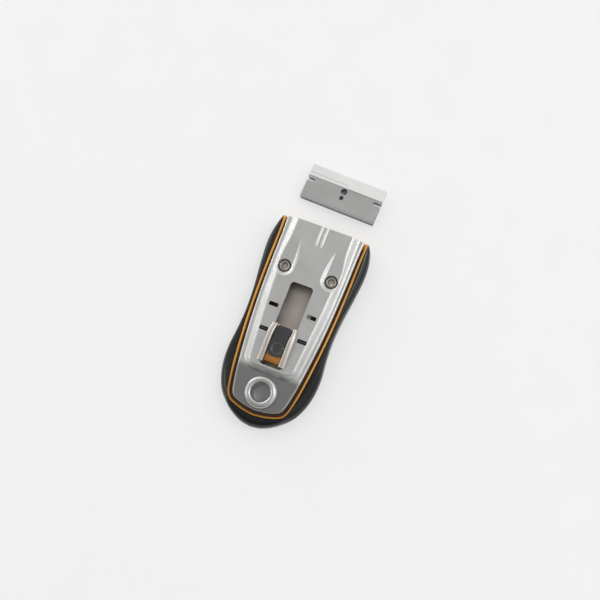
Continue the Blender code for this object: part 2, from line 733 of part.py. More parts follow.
def make_clamp():
    """Spring-steel clamp: its tail is riveted to the carrier and its jaw lies over the spine."""
    jaw_front = y_at(blade_back - SPINE_DEPTH)
    rise_front = y_at(blade_back + SEAT_GAP)
    rise_rear = y_at(blade_back + SEAT_GAP + CLAMP_SHEET)
    tail_rear = y_at(head_rear + CLAMP_TAIL)
    tail_high = spine_low + CLAMP_SHEET
    loop = (
        (jaw_front, clamp_low), (jaw_front, clamp_high), (rise_rear, clamp_high), (rise_rear, tail_high),
        (tail_rear, tail_high), (tail_rear, spine_low), (rise_front, spine_low), (rise_front, clamp_low),
    )
    clamp = cross_section("blade_clamp", loop, clamp_half_width)
    for side in (-1, 1):
        centre = (side * clamp_rivet_aside, y_at(clamp_rivet_back()))
        radius = CLAMP_RIVET_RADIUS + FIT_GAP
        bore = cylinder(f"clamp_bore_{side + 1}", centre, radius, spine_low - SEAT_GAP, tail_high + SEAT_GAP)
        combine(clamp, bore)
    return finished(clamp, plain_material("clamp_steel", (0.45, 0.45, 0.46), 0.35, 1.0))


def make_clamp_rivet(side, label):
    """Small solid rivet that holds the clamp's tail on the carrier."""
    head_base = spine_low + CLAMP_SHEET + FIT_GAP
    head_rise = head_base + CLAMP_HEAD_HEIGHT
    profile = (
        (0, head_rise), (CLAMP_HEAD_RADIUS / 2, head_rise), (CLAMP_HEAD_RADIUS, head_base),
        (CLAMP_RIVET_RADIUS, head_base), (CLAMP_RIVET_RADIUS, carrier_low), (0, carrier_low),
    )
    centre = (side * clamp_rivet_aside, y_at(clamp_rivet_back()))
    rivet = turned(f"clamp_rivet_{label}", profile, centre, closed=False)
    return finished(rivet, plain_material(f"clamp_rivet_steel_{label}", (0.55, 0.55, 0.55), 0.3, 1.0))


def make_guide_pin(label, back):
    """Pin that stands on the carrier and guides the slider block as it is pressed."""
    pin = cylinder(f"guide_pin_{label}", (0, y_at(back)), PIN_RADIUS, carrier_low, pin_high)
    return finished(pin, plain_material(f"pin_steel_{label}", (0.55, 0.55, 0.55), 0.3, 1.0))


def make_press_spring():
    """Bowed leaf between the carrier and the block, which pushes the slider up."""
    middle = y_at((neck_front + neck_rear) / 2)
    upper = []
    lower = []
    for share in np.linspace(-1, 1, 9):
        lift = (BOW_HEIGHT - BOW_SHEET) * math.cos(share * math.pi / 2) ** 2
        upper.append((middle + share * BOW_HALF_LENGTH, bow_low + BOW_SHEET + lift))
        lower.append((middle + share * BOW_HALF_LENGTH, bow_low + lift))
    spring = cross_section("press_spring", upper + lower[::-1], bow_half_width)
    return finished(spring, plain_material("spring_steel", (0.4, 0.4, 0.42), 0.3, 1.0))


def make_block():
    """Slider block: the moulded neck that passes through the window, with a raised rear lip."""
    loop = rounded_rectangle(neck_half_width, y_at(neck_rear), y_at(neck_front), NECK_CORNER)
    block = slab("slider_block", loop, block_low, block_high)
    lip_low = (-lip_half_width, y_at(neck_rear), block_high - SEAT_GAP)
    lip_high = (lip_half_width, y_at(neck_rear - LIP_LENGTH), block_high + LIP_RISE)
    combine(block, box("rear_lip", lip_low, lip_high), "UNION")
    hole_high = pin_high + PRESS_TRAVEL + SEAT_GAP
    for label, back in pin_places():
        low = block_low - OVERRUN
        hole = cylinder(f"block_hole_{label}", (0, y_at(back)), PIN_RADIUS + SEAT_GAP, low, hole_high)
        combine(block, hole)
    half = LEAF_HALF_LENGTH + SEAT_GAP
    tunnel_low = (-neck_half_width - OVERRUN, y_at(lock_back) - half, leaf_low - SEAT_GAP)
    tunnel_high = (neck_half_width + OVERRUN, y_at(lock_back) + half, leaf_high + SEAT_GAP)
    combine(block, box("leaf_tunnel", tunnel_low, tunnel_high))
    return finished(block, plain_material("orange_block", (0.72, 0.31, 0.05), 0.4, 0.0))


def make_lock_spring():
    """Cross leaf in the block, with two upturned tabs that latch in a pair of notches."""
    middle = y_at(lock_back)
    leaf = box(
        "lock_spring", (-leaf_half_width, middle - LEAF_HALF_LENGTH, leaf_low),
        (leaf_half_width, middle + LEAF_HALF_LENGTH, leaf_high),
    )
    for side in (-1, 1):
        near = (side * notch_aside - TAB_HALF_WIDTH, middle - TAB_HALF_THICKNESS, (leaf_low + leaf_high) / 2)
        tab_high = platform_high - TAB_BELOW_SURFACE
        far = (side * notch_aside + TAB_HALF_WIDTH, middle + TAB_HALF_THICKNESS, tab_high)
        combine(leaf, box(f"tab_{side + 1}", near, far), "UNION")
    return finished(leaf, plain_material("latch_steel", (0.4, 0.4, 0.42), 0.3, 1.0))


def make_saddle():
    """Pressed steel saddle on the block, with two raised cheeks that overhang the window."""
    columns = [(-width, rise) for width, rise in reversed(SADDLE_SECTION_SHARES[1:])]
    columns += SADDLE_SECTION_SHARES
    start = neck_front + SADDLE_FRONT_SETBACK
    length = neck_rear + SADDLE_REAR_OVERHANG - start
    rows = len(SADDLE_LENGTH_SHARES)
    bpy.ops.mesh.primitive_grid_add(x_subdivisions=len(columns) - 1, y_subdivisions=rows - 1, size=1)
    saddle = bpy.context.object
    saddle.name = "slider_saddle"
    for vertex in saddle.data.vertices:
        width, rise = columns[round((vertex.co.x + 1 / 2) * (len(columns) - 1))]
        place, full = SADDLE_LENGTH_SHARES[round((1 / 2 - vertex.co.y) * (rows - 1))]
        height = web_high + rise * full * SADDLE_HEIGHT
        vertex.co = (width * saddle_half_width, y_at(start + place * length), height)
    wall = saddle.modifiers.new("sheet", "SOLIDIFY")
    wall.thickness = SADDLE_SHEET
    wall.offset = -1
    wall.use_even_offset = False
    half = lip_half_width + SEAT_GAP
    low = (-half, y_at(neck_rear + SADDLE_REAR_OVERHANG + OVERRUN), saddle_low - OVERRUN)
    high = (half, y_at(neck_rear - LIP_LENGTH - SEAT_GAP), web_high + SADDLE_HEIGHT + OVERRUN)
    combine(saddle, box("lip_opening", low, high))
    return finished(saddle, plain_material("saddle_steel", (0.72, 0.71, 0.68), 0.2, 1.0))


def make_pad():
    """Dark moulded thumb pad in the saddle's hollow."""
    start = neck_front + SADDLE_FRONT_SETBACK + SEAT_GAP
    end = neck_rear - LIP_LENGTH - SEAT_GAP
    low = web_high + SEAT_GAP
    loop = rounded_rectangle(pad_half_width, y_at(end), y_at(start), PAD_CORNER)
    pad = slab("thumb_pad", loop, low, low + PAD_THICKNESS)
    return finished(pad, plain_material("pad_plastic", (0.05, 0.05, 0.05), 0.25, 0.0))


def blade_mesh():
    """The ground leaf about its own middle, with its cutting edge at -Y."""
    back = BLADE_DEPTH / 2 - SPINE_SHEET - CRIMP_GAP
    half_sheet = BLADE_SHEET / 2
    leaf_low = (-blade_half_width, -BLADE_DEPTH / 2, -half_sheet)
    leaf = box("blade_leaf", leaf_low, (blade_half_width, back, half_sheet))
    hole_y = BLADE_DEPTH / 2 - KEYHOLE_SETBACK
    over = half_sheet + OVERRUN
    combine(leaf, cylinder("leaf_hole", (0, hole_y), KEYHOLE_RADIUS, -over, over))
    slot_high = hole_y - KEYSLOT_START
    slot_low = slot_high - KEYSLOT_LENGTH
    keyslot_low = (-KEYSLOT_HALF_WIDTH, slot_low, -over)
    combine(leaf, box("leaf_slot", keyslot_low, (KEYSLOT_HALF_WIDTH, slot_high, over)))
    for side in (-1, 1):
        inner = side * (blade_half_width - SIDE_NOTCH_DEPTH)
        outer = side * (blade_half_width + OVERRUN)
        near = (min(inner, outer), hole_y - SIDE_NOTCH_HEIGHT / 2, -over)
        far = (max(inner, outer), hole_y + SIDE_NOTCH_HEIGHT / 2, over)
        combine(leaf, box(f"leaf_notch_{side + 1}", near, far))
    bpy.context.view_layer.update()
    mesh = bpy.data.meshes.new_from_object(leaf.evaluated_get(bpy.context.evaluated_depsgraph_get()))
    bpy.data.objects.remove(leaf)
    work = bmesh.new()
    work.from_mesh(mesh)
    grind = GRIND_WIDTH - BLADE_DEPTH / 2
    everything = work.verts[:] + work.edges[:] + work.faces[:]
    reach = FIT_GAP / 100
    bmesh.ops.bisect_plane(work, geom=everything, dist=reach, plane_co=(0, grind, 0), plane_no=(0, 1, 0))
    for vertex in work.verts:
        if vertex.co.y < FIT_GAP - BLADE_DEPTH / 2:
            vertex.co.z = math.copysign(BLADE_TIP / 2, vertex.co.z)
    work.to_mesh(mesh)
    work.free()
    mesh.name = "blade"
    return mesh


def spine_mesh():
    """The folded spine about the blade's middle, closed along +Y."""
    back = BLADE_DEPTH / 2
    front = back - SPINE_DEPTH
    inside = back - SPINE_SHEET
    half = spine_thickness / 2
    hollow = half - SPINE_SHEET
    loop = (
        (back, -half), (back, half), (front, half), (front, hollow),
        (inside, hollow), (inside, -hollow), (front, -hollow), (front, -half),
    )
    spine = cross_section("spine_fold", loop, blade_half_width)
    mesh = spine.data
    bpy.data.objects.remove(spine)
    mesh.name = "spine"
    return mesh


def place_copy(name, mesh, material, centre, turn):
    """Another piece with the same mesh, set down about its own middle."""
    piece = bpy.data.objects.new(name, mesh.copy())
    parts.objects.link(piece)
    piece.location = centre
    piece.rotation_euler = (0, 0, turn)
    return finished(piece, material)


def make_blades():
    """The loaded blade in the carrier, and the stack of spares."""
    steel = plain_material("blade_steel", (0.55, 0.55, 0.54), 0.3, 1.0)
    fold = plain_material("spine_steel", (0.78, 0.78, 0.77), 0.3, 1.0)
    leaf = blade_mesh()
    spine = spine_mesh()
    half = spine_thickness / 2
    centre = (0, y_at(blade_back - BLADE_DEPTH / 2), spine_low + half)
    loaded = [
        place_copy("loaded_blade", leaf, steel, centre, math.pi),
        place_copy("loaded_spine", spine, fold, centre, math.pi),
    ]
    spares = []
    for index in range(SPARE_COUNT):
        centre = (STACK_ASIDE, y_at(-STACK_AHEAD), half + index * (spine_thickness + FIT_GAP))
        spares.append(place_copy(f"spare_blade_{index + 1}", leaf, steel, centre, STACK_TURN))
        spares.append(place_copy(f"spare_spine_{index + 1}", spine, fold, centre, STACK_TURN))
    return loaded, spares


def joint_empty(name, place, pieces):
    """An empty on a joint's axis that carries the pieces which move together."""
    empty = bpy.data.objects.new(name, None)
    parts.objects.link(empty)
    empty.location = place
    bpy.context.view_layer.update()
    for piece in pieces:
        piece.parent = empty
        piece.matrix_parent_inverse = empty.matrix_world.inverted()
    return empty


make_grip()
make_housing()
make_back_plate()
make_top_plate()
make_rivet(-1, "left")
make_rivet(1, "right")
make_eyelet()
loaded_pieces, spare_pieces = make_blades()
slide_pieces = [make_carrier(), make_peg(), make_clamp(), make_press_spring()]
slide_pieces += [make_clamp_rivet(-1, "left"), make_clamp_rivet(1, "right")]
slide_pieces += [make_guide_pin(label, back) for label, back in pin_places()]
button_pieces = [make_block(), make_lock_spring(), make_saddle(), make_pad()]
slide_axis = joint_empty("blade_slide_axis", (0, y_at(neck_front), carrier_low), slide_pieces + loaded_pieces)
press_axis = joint_empty("button_press_axis", (0, y_at((neck_front + neck_rear) / 2), block_low), button_pieces)
press_axis.parent = slide_axis
press_axis.matrix_parent_inverse = slide_axis.matrix_world.inverted()
joint_empty("spare_lift_axis", (STACK_ASIDE, y_at(-STACK_AHEAD), 0), spare_pieces)
bpy.context.view_layer.update()
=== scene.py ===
"""A hand scraper with a retracting blade and four spare blades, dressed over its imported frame."""

import math

import bmesh
import bpy
import numpy as np
from mathutils import Matrix, Vector


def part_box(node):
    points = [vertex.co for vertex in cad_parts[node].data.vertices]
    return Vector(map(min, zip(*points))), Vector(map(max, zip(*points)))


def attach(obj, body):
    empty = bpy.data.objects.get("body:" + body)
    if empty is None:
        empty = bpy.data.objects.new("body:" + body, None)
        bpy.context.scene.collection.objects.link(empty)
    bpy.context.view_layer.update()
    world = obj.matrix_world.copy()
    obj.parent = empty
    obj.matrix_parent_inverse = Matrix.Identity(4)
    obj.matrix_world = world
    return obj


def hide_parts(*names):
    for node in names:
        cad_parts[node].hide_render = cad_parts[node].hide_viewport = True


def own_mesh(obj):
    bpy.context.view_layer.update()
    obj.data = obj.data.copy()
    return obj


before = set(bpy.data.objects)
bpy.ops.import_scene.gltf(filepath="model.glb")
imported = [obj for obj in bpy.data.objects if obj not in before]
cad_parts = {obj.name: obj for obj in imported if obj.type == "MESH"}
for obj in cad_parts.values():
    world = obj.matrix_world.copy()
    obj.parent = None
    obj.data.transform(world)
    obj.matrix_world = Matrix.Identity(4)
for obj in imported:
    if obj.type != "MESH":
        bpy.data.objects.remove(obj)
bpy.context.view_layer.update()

# Back plate
# A flat stainless blank under the housing, which the two rivets and the eyelet draw up against it.
# It is only blanked and pierced, so the frame's own solid is right, and it gets a dull rolled finish.
GRAIN_WIDTH = 0.00012
GRAIN_LENGTH = 0.009
ROLLED_GRAIN = (GRAIN_WIDTH, GRAIN_LENGTH, GRAIN_WIDTH)
CLOUD_SIZE = 0.014
STEEL_RELIEF = 0.0000012


class Shade:
    """A socket in a material. Arithmetic on it adds Math nodes."""

    def __init__(self, tree, socket):
        self.tree = tree
        self.socket = socket

    def node(self, kind, settings=None, sockets=None, output=0):
        """A new node in the same tree: its settings, then the values or links of its sockets."""
        made = self.tree.nodes.new(kind)
        for name, value in (settings or {}).items():
            setattr(made, name, value)
        for name, value in (sockets or {}).items():
            if isinstance(value, Shade):
                self.tree.links.new(value.socket, made.inputs[name])
            else:
                made.inputs[name].default_value = value
        return Shade(self.tree, made.outputs[output])

    def math(self, operation, first, second):
        """One Math node."""
        return self.node("ShaderNodeMath", {"operation": operation}, {0: first, 1: second})

    def __add__(self, other):
        return self.math("ADD", self, other)

    def __sub__(self, other):
        return self.math("SUBTRACT", self, other)

    def __rsub__(self, other):
        return self.math("SUBTRACT", other, self)

    def __mul__(self, other):
        return self.math("MULTIPLY", self, other)

    __radd__ = __add__
    __rmul__ = __mul__

    def noise(self, size, detail=2.0, roughness=0.5):
        """Noise whose patches are about size across; size is one length or three."""
        lengths = size if isinstance(size, tuple) else (size, size, size)
        scale = tuple(1 / length for length in lengths)
        place = self.node("ShaderNodeMapping", {}, {"Vector": self, "Scale": scale})
        return self.node("ShaderNodeTexNoise", {}, {
            "Vector": place, "Scale": 1.0, "Detail": detail, "Roughness": roughness,
        })

    def step(self, low, high):
        """0 below low, 1 above high, and smooth between."""
        return self.node("ShaderNodeMapRange", {"interpolation_type": "SMOOTHSTEP"}, {
            "Value": self, "From Min": low, "From Max": high,
        })

    def axis(self, index):
        """One of the three coordinates."""
        return self.node("ShaderNodeSeparateXYZ", {}, {"Vector": self}, index)

    def behind(self, rear, start, low, high):
        """1 behind a place along the handle and above a height, 0 ahead of another or below another."""
        return (1 - self.axis(1).step(rear, start)) * self.axis(2).step(low, high)

    def blend(self, first, second):
        """A colour between two, by this value."""
        return self.node("ShaderNodeMix", {"data_type": "RGBA"}, {0: self, 6: first, 7: second}, 2)


def start_finish(name, metallic, **fixed):
    """A new material and the object coordinates that its detail is drawn on."""
    material = bpy.data.materials.new(name)
    material.use_nodes = True
    tree = material.node_tree
    shader = tree.nodes["Principled BSDF"]
    shader.inputs["Metallic"].default_value = metallic
    for socket, value in fixed.items():
        shader.inputs[socket.replace("_", " ")].default_value = value
    return material, Shade(tree, tree.nodes.new("ShaderNodeTexCoord").outputs["Object"])


def end_finish(material, colour, roughness, height, depth):
    """Feeds a material's colour, roughness and fine relief to its shader."""
    shader = material.node_tree.nodes["Principled BSDF"]
    bump = height.node("ShaderNodeBump", {}, {"Height": height, "Distance": depth, "Strength": 1.0})
    for socket, value in (("Base Color", colour), ("Roughness", roughness), ("Normal", bump)):
        material.node_tree.links.new(value.socket, shader.inputs[socket])
    return material


def steel_finish(name, dark, light, smoothest, roughest, grain=ROLLED_GRAIN, painted_rear_shade=None):
    """Rolled or polished steel: fine grain, faint clouds, hairline scratches and, if asked, painted shade
    that darkens the rear.
    """
    material, place = start_finish(name, 1.0)
    lines = place.noise(grain, 3.0, 0.6)
    clouds = place.noise(CLOUD_SIZE, 2.0)
    scratches = place.noise((GRAIN_WIDTH * 2, GRAIN_LENGTH * 2, GRAIN_WIDTH * 2), 1.0).step(0.70, 0.74)
    colour = (lines * 0.5 + clouds * 0.5).step(0.32, 0.68).blend((*dark, 1), (*light, 1))
    # Painted shade: the rear of the piece is darkened to a share of its light colour, as if less light fell
    # there.
    if painted_rear_shade:
        shade_share, *limits = painted_rear_shade
        colour = place.behind(*limits).blend(colour, (*[value * shade_share for value in light], 1))
    roughness = smoothest + (lines * 0.6 + clouds * 0.4) * (roughest - smoothest) + scratches * 0.06
    return end_finish(material, colour, roughness, lines + scratches * 0.4, STEEL_RELIEF)


def dress(node, material):
    """The frame's own solid, kept as it is, with a finish."""
    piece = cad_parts[node]
    piece.data.materials.clear()
    piece.data.materials.append(material)


rolled_steel = steel_finish("rolled_steel", (0.44, 0.44, 0.43), (0.54, 0.54, 0.53), 0.30, 0.44)
dress("back_plate", rolled_steel)

# Inner housing
# Orange moulded plastic: a block with the blade slot and the slide channel, whose lip shows as a line
# round the steel plate. Its edges are rounded as a mould leaves them. It sits in the grip.
SEAT_GAP = 0.0003
OVERRUN = 0.002
LIP_FRONT_MARGIN = 0.0019
LIP_REAR_MARGIN = 0.0025
LIP_ROUNDING = 0.00028
LIP_ROUND_SHARE = 0.29
GROOVE_ROOM = 0.0009
GROOVE_REAR_ROOM = 0.0017
GROOVE_LEAN = 0.0005
GROOVE_DEPTH = 0.0009
# Painted shade deep in the housing: the heights it fades over, how far behind the front it is lifted, how
# uneven its edge is
DEEP_SHADE_LOW = 0.0079
DEEP_SHADE_HIGH = 0.0094
DEEP_SHADE_SETBACK = 0.0010
DEEP_SHADE_UNEVENNESS = 0.0006
MOULD_GRAIN = 0.00025
MOULD_RELIEF = 0.000006
# Share of the colour kept under the painted shade over the housing's rear
LIP_REAR_SHADE_SHARE = 0.62
CORNER_ROOM = 0.0006
PLATE_SHEET = 0.0008
FLANGE_DROP = 0.0017
PLATFORM_HEIGHT = 0.0025
HALL_WALL = 0.0011
SLOT_WALL = 0.0008
STEM_WALL = 0.0015
WINDOW_REAR_ROOM = 0.0020
HALL_HALF_WIDTH = 0.0129
FRONT_HALL_HALF_WIDTH = 0.0140
RIVET_HOLE_RADIUS = 0.0022
EYELET_HOLE_RADIUS = 0.0057
KNOT_STEPS = 12
SIDE_STEPS = 90
ROUND_STEPS = 48
BEVEL_STEPS = 3
CREASE = math.radians(50)
SMOOTHED = math.radians(35)
# Outline shares: distance behind the front, then half width
PLATE_SHARES = (
    (0.0, 1.0), (0.10, 0.981), (0.25, 0.971), (0.41, 0.946), (0.57, 0.900), (0.72, 0.832),
    (0.84, 0.760), (0.92, 0.688), (0.950, 0.648), (0.968, 0.590), (0.980, 0.47), (0.993, 0.25), (1.0, 0.0),
)

plate_low, plate_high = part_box("top_plate")
housing_low, housing_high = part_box("inner_housing")
neck_low, neck_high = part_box("slider_block")
carrier_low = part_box("blade_carrier")[0]
clamp_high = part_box("blade_clamp")[1]
rivet_low, rivet_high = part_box("rivet_right")
eyelet_low, eyelet_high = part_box("hang_eyelet")
blade_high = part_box("loaded_blade")[1]
front_y = plate_high.y
plate_length = plate_high.y - plate_low.y
plate_half_width = plate_high.x
platform_high = plate_high.z
rim_high = platform_high - PLATFORM_HEIGHT
seat_high = housing_high.z
groove_floor = rim_high - FLANGE_DROP - GROOVE_DEPTH
rivet_aside = (rivet_low.x + rivet_high.x) / 2
rivet_y = (rivet_low.y + rivet_high.y) / 2
eyelet_y = (eyelet_low.y + eyelet_high.y) / 2
slot_floor = carrier_low.z - SEAT_GAP
slot_ceiling = clamp_high.z + SEAT_GAP
slot_rear_y = rivet_y + RIVET_HOLE_RADIUS + SLOT_WALL
window_rear_y = neck_low.y - WINDOW_REAR_ROOM


def smooth_path(points, steps):
    """Evenly spaced points on a smooth curve through the given ones."""
    knots = np.array(points)
    padded = np.vstack([2 * knots[0] - knots[1], knots, 2 * knots[-1] - knots[-2]])
    dense = []
    for index in range(len(knots) - 1):
        before, start, end, after = padded[index:index + 4]
        for share in np.linspace(0, 1, KNOT_STEPS, endpoint=False):
            straight = 2 * start + (end - before) * share
            square = (2 * before - 5 * start + 4 * end - after) * share ** 2
            cube = (3 * start - before - 3 * end + after) * share ** 3
            dense.append((straight + square + cube) / 2)
    dense.append(knots[-1])
    dense = np.array(dense)
    run = np.concatenate([[0], np.cumsum(np.linalg.norm(np.diff(dense, axis=0), axis=1))])
    places = np.linspace(0, run[-1], steps)
    return np.column_stack([np.interp(places, run, dense[:, axis]) for axis in range(2)])


def outline(shares, length, half_width):
    """A closed outline, the same on both sides, from its front right corner round the tail."""
    points = [(width * half_width, front_y - distance * length) for distance, width in shares]
    side = smooth_path(points, SIDE_STEPS)
    return np.vstack([side, side[-2::-1] * np.array((-1, 1))])


def grown(loop, front_margin, rear_margin, front_limit):
    """An outline moved outwards, with its front edge held at a given y."""
    before = np.roll(loop, 1, axis=0)
    after = np.roll(loop, -1, axis=0)
    into = (loop - before) / np.linalg.norm(loop - before, axis=1)[:, None]
    out = (after - loop) / np.linalg.norm(after - loop, axis=1)[:, None]
    normal = np.column_stack([-(into + out)[:, 1], (into + out)[:, 0]])
    normal /= (1 + np.sum(into * out, axis=1))[:, None]
    share = (loop[:, 1].max() - loop[:, 1]) / np.ptp(loop[:, 1])
    moved = loop + normal * (front_margin + (rear_margin - front_margin) * share)[:, None]
    moved[[0, -1], 1] = front_limit
    kept = moved[:, 1] < front_limit
    kept[[0, -1]] = True
    return moved[kept]


def deselect():
    """Leaves nothing selected, so that an operator acts on the next piece alone."""
    bpy.ops.object.select_all(action="DESELECT")


def end_edit():
    """Turns every face of the edited piece outwards and leaves edit mode."""
    bpy.ops.mesh.select_all(action="SELECT")
    bpy.ops.mesh.normals_make_consistent(inside=False)
    bpy.ops.object.mode_set(mode="OBJECT")


def flat_ring(loop, height):
    """An outline in the plane, at one height."""
    return [(x, y, height) for x, y in loop]


def stacked(name, rings):
    """A closed body: a filled circle laid on the first ring and extruded through the others."""
    deselect()
    bpy.ops.mesh.primitive_circle_add(vertices=len(rings[0]), fill_type="NGON")
    piece = bpy.context.object
    piece.name = name
    bpy.ops.object.mode_set(mode="EDIT")
    for index, ring in enumerate(rings):
        if index:
            bpy.ops.mesh.extrude_region_move(TRANSFORM_OT_translate={"value": (0, 0, OVERRUN)})
        work = bmesh.from_edit_mesh(piece.data)
        face = next(face for face in work.faces if face.select)
        for corner, place in zip(face.loops, ring):
            corner.vert.co = place
        bmesh.update_edit_mesh(piece.data)
    end_edit()
    return piece


def upright(name, loop, low, high):
    """A closed body with one outline at two heights."""
    return stacked(name, [flat_ring(loop, height) for height in (low, high)])


def block(name, low, high):
    """A cube between two corners."""
    deselect()
    bpy.ops.mesh.primitive_cube_add(size=1)
    piece = bpy.context.object
    piece.name = name
    low, high = Vector(low), Vector(high)
    piece.data.transform(Matrix.LocRotScale((low + high) / 2, None, high - low))
    return piece


def drum(name, x, y, radius, low, high):
    """An upright cylinder."""
    deselect()
    bpy.ops.mesh.primitive_cylinder_add(vertices=ROUND_STEPS, radius=radius, depth=high - low)
    piece = bpy.context.object
    piece.name = name
    piece.data.transform(Matrix.Translation((x, y, (low + high) / 2)))
    return piece


def make_active(piece):
    """Selects one piece alone."""
    deselect()
    piece.select_set(True)
    bpy.context.view_layer.objects.active = piece


def combine(piece, *tools, operation="DIFFERENCE"):
    """Cuts tools out of a piece, or joins them on, and removes them."""
    for tool in tools:
        modifier = piece.modifiers.new(tool.name, "BOOLEAN")
        modifier.operation = operation
        modifier.solver = "EXACT"
        modifier.object = tool
        make_active(piece)
        bpy.ops.object.modifier_apply(modifier=modifier.name)
        bpy.data.objects.remove(tool, do_unlink=True)
    return piece


def soften(piece, chosen, width):
    """Rounds the edges that a test picks by their two ends."""
    make_active(piece)
    bpy.ops.object.mode_set(mode="EDIT")
    bpy.ops.mesh.select_mode(type="EDGE")
    bpy.ops.mesh.select_all(action="DESELECT")
    work = bmesh.from_edit_mesh(piece.data)
    for edge in work.edges:
        edge.select = chosen(edge)
    work.select_flush_mode()
    bmesh.update_edit_mesh(piece.data)
    bpy.ops.mesh.bevel(offset=width, segments=BEVEL_STEPS, affect="EDGES")
    bpy.ops.object.mode_set(mode="OBJECT")


def sharp_edge(edge):
    """Whether an edge is a crease."""
    return len(edge.link_faces) == 2 and edge.calc_face_angle(0) > CREASE


def place_piece(piece, material, body, slot, *nodes):
    """Finishes a piece: its material, smooth shading, the solids it stands for and the body it rides on."""
    piece.data.materials.clear()
    piece.data.materials.append(material)
    make_active(piece)
    bpy.ops.object.shade_smooth_by_angle(angle=SMOOTHED)
    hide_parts(*nodes)
    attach(piece, body)


def plastic_finish(
    name, dark, light, smoothest, roughest, grain_size=MOULD_GRAIN, relief=MOULD_RELIEF,
    painted_deep_shade=None, painted_rear_shade=None, **fixed,
):
    """Moulded plastic: fine grain, flow clouds, an uneven gloss and, if asked, painted shade over the rear
    and deep inside.
    """
    material, place = start_finish(name, 0.0, **fixed)
    grain = place.noise(grain_size, 2.0)
    clouds = place.noise(CLOUD_SIZE, 3.0)
    colour = (clouds * 0.7 + grain * 0.3).step(0.3, 0.7).blend((*dark, 1), (*light, 1))
    # Painted shade: the rear of the piece is darkened to a share of its dark colour.
    if painted_rear_shade:
        shade_share, *limits = painted_rear_shade
        colour = place.behind(*limits).blend(colour, (*[value * shade_share for value in dark], 1))
    # Painted shade: below a height the colour turns dark brown, as in shade deep in the slots and halls,
    # except near the front.
    if painted_deep_shade:
        front_unshaded = place.axis(1).step(front_y - 4 * DEEP_SHADE_SETBACK, front_y - DEEP_SHADE_SETBACK)
        unshaded = (place.axis(2) + (clouds - 0.5) * DEEP_SHADE_UNEVENNESS).step(DEEP_SHADE_LOW, DEEP_SHADE_HIGH)
        colour = unshaded.math("MAXIMUM", unshaded, front_unshaded).blend((*painted_deep_shade, 1), colour)
    roughness = smoothest + (clouds * 0.6 + grain * 0.4) * (roughest - smoothest)
    return end_finish(material, colour, roughness, grain, relief)


# The housing's colour carries painted shade: dark brown deep inside its slots and halls, and darker over its
# rear quarter.
orange_plastic = plastic_finish(
    "orange_plastic", (0.72, 0.32, 0.045), (0.84, 0.42, 0.075), 0.24, 0.40,
    painted_deep_shade=(0.045, 0.016, 0.006),
    painted_rear_shade=(LIP_REAR_SHADE_SHARE, plate_low.y, plate_low.y + plate_length / 4, -OVERRUN, 0),
)
plate_outline = outline(PLATE_SHARES, plate_length, plate_half_width)
housing_outline = grown(plate_outline, LIP_FRONT_MARGIN, LIP_REAR_MARGIN, front_y)
housing_outline[:, 0] *= housing_high.x / housing_outline[:, 0].max()


def housing_ring(inset, height):
    """The housing's outline, drawn in a little, at one height."""
    return flat_ring(grown(housing_outline, -inset, -inset, front_y), height)


ahead = front_y + OVERRUN
over = seat_high + OVERRUN
lip_middle = LIP_ROUNDING * LIP_ROUND_SHARE
housing = stacked("housing", [
    housing_ring(LIP_ROUNDING, housing_low.z), housing_ring(0, housing_low.z + LIP_ROUNDING),
    housing_ring(0, seat_high - LIP_ROUNDING), housing_ring(lip_middle, seat_high - lip_middle),
    housing_ring(LIP_ROUNDING, seat_high),
])
groove_rings = (
    (-GROOVE_LEAN, groove_floor), (0, seat_high - LIP_ROUNDING), (lip_middle, seat_high - lip_middle),
    (LIP_ROUNDING, seat_high), (LIP_ROUNDING, over),
)
groove = stacked("groove", [
    flat_ring(grown(plate_outline, GROOVE_ROOM + more, GROOVE_REAR_ROOM + more, ahead), height)
    for more, height in groove_rings
])
core_inset = -PLATE_SHEET - SEAT_GAP
core_outline = grown(plate_outline, core_inset, core_inset - CORNER_ROOM, ahead + OVERRUN)
core = upright("core", core_outline, groove_floor - OVERRUN, over + OVERRUN)
slot_half_width = blade_high.x + SEAT_GAP
stem_half_width = rivet_aside - RIVET_HOLE_RADIUS - STEM_WALL + SEAT_GAP
combine(
    housing, combine(groove, core),
    block("blade_slot", (-slot_half_width, slot_rear_y, slot_floor), (slot_half_width, ahead, slot_ceiling)),
    block(
        "stem_channel", (-stem_half_width, carrier_low.y - SEAT_GAP, slot_floor),
        (stem_half_width, ahead, over),
    ),
    block(
        "front_hall", (-FRONT_HALL_HALF_WIDTH, slot_rear_y + HALL_WALL, slot_ceiling - SEAT_GAP),
        (FRONT_HALL_HALF_WIDTH, ahead, over),
    ),
    block(
        "rear_hall", (-HALL_HALF_WIDTH, window_rear_y - HALL_WALL, slot_ceiling),
        (HALL_HALF_WIDTH, rivet_y - RIVET_HOLE_RADIUS - HALL_WALL, over),
    ),
    drum("left_hole", -rivet_aside, rivet_y, RIVET_HOLE_RADIUS, -OVERRUN, over),
    drum("right_hole", rivet_aside, rivet_y, RIVET_HOLE_RADIUS, -OVERRUN, over),
    drum("hang_hole", 0, eyelet_y, EYELET_HOLE_RADIUS, -OVERRUN, over),
)
place_piece(housing, orange_plastic, "handle", "orange_housing", "inner_housing")

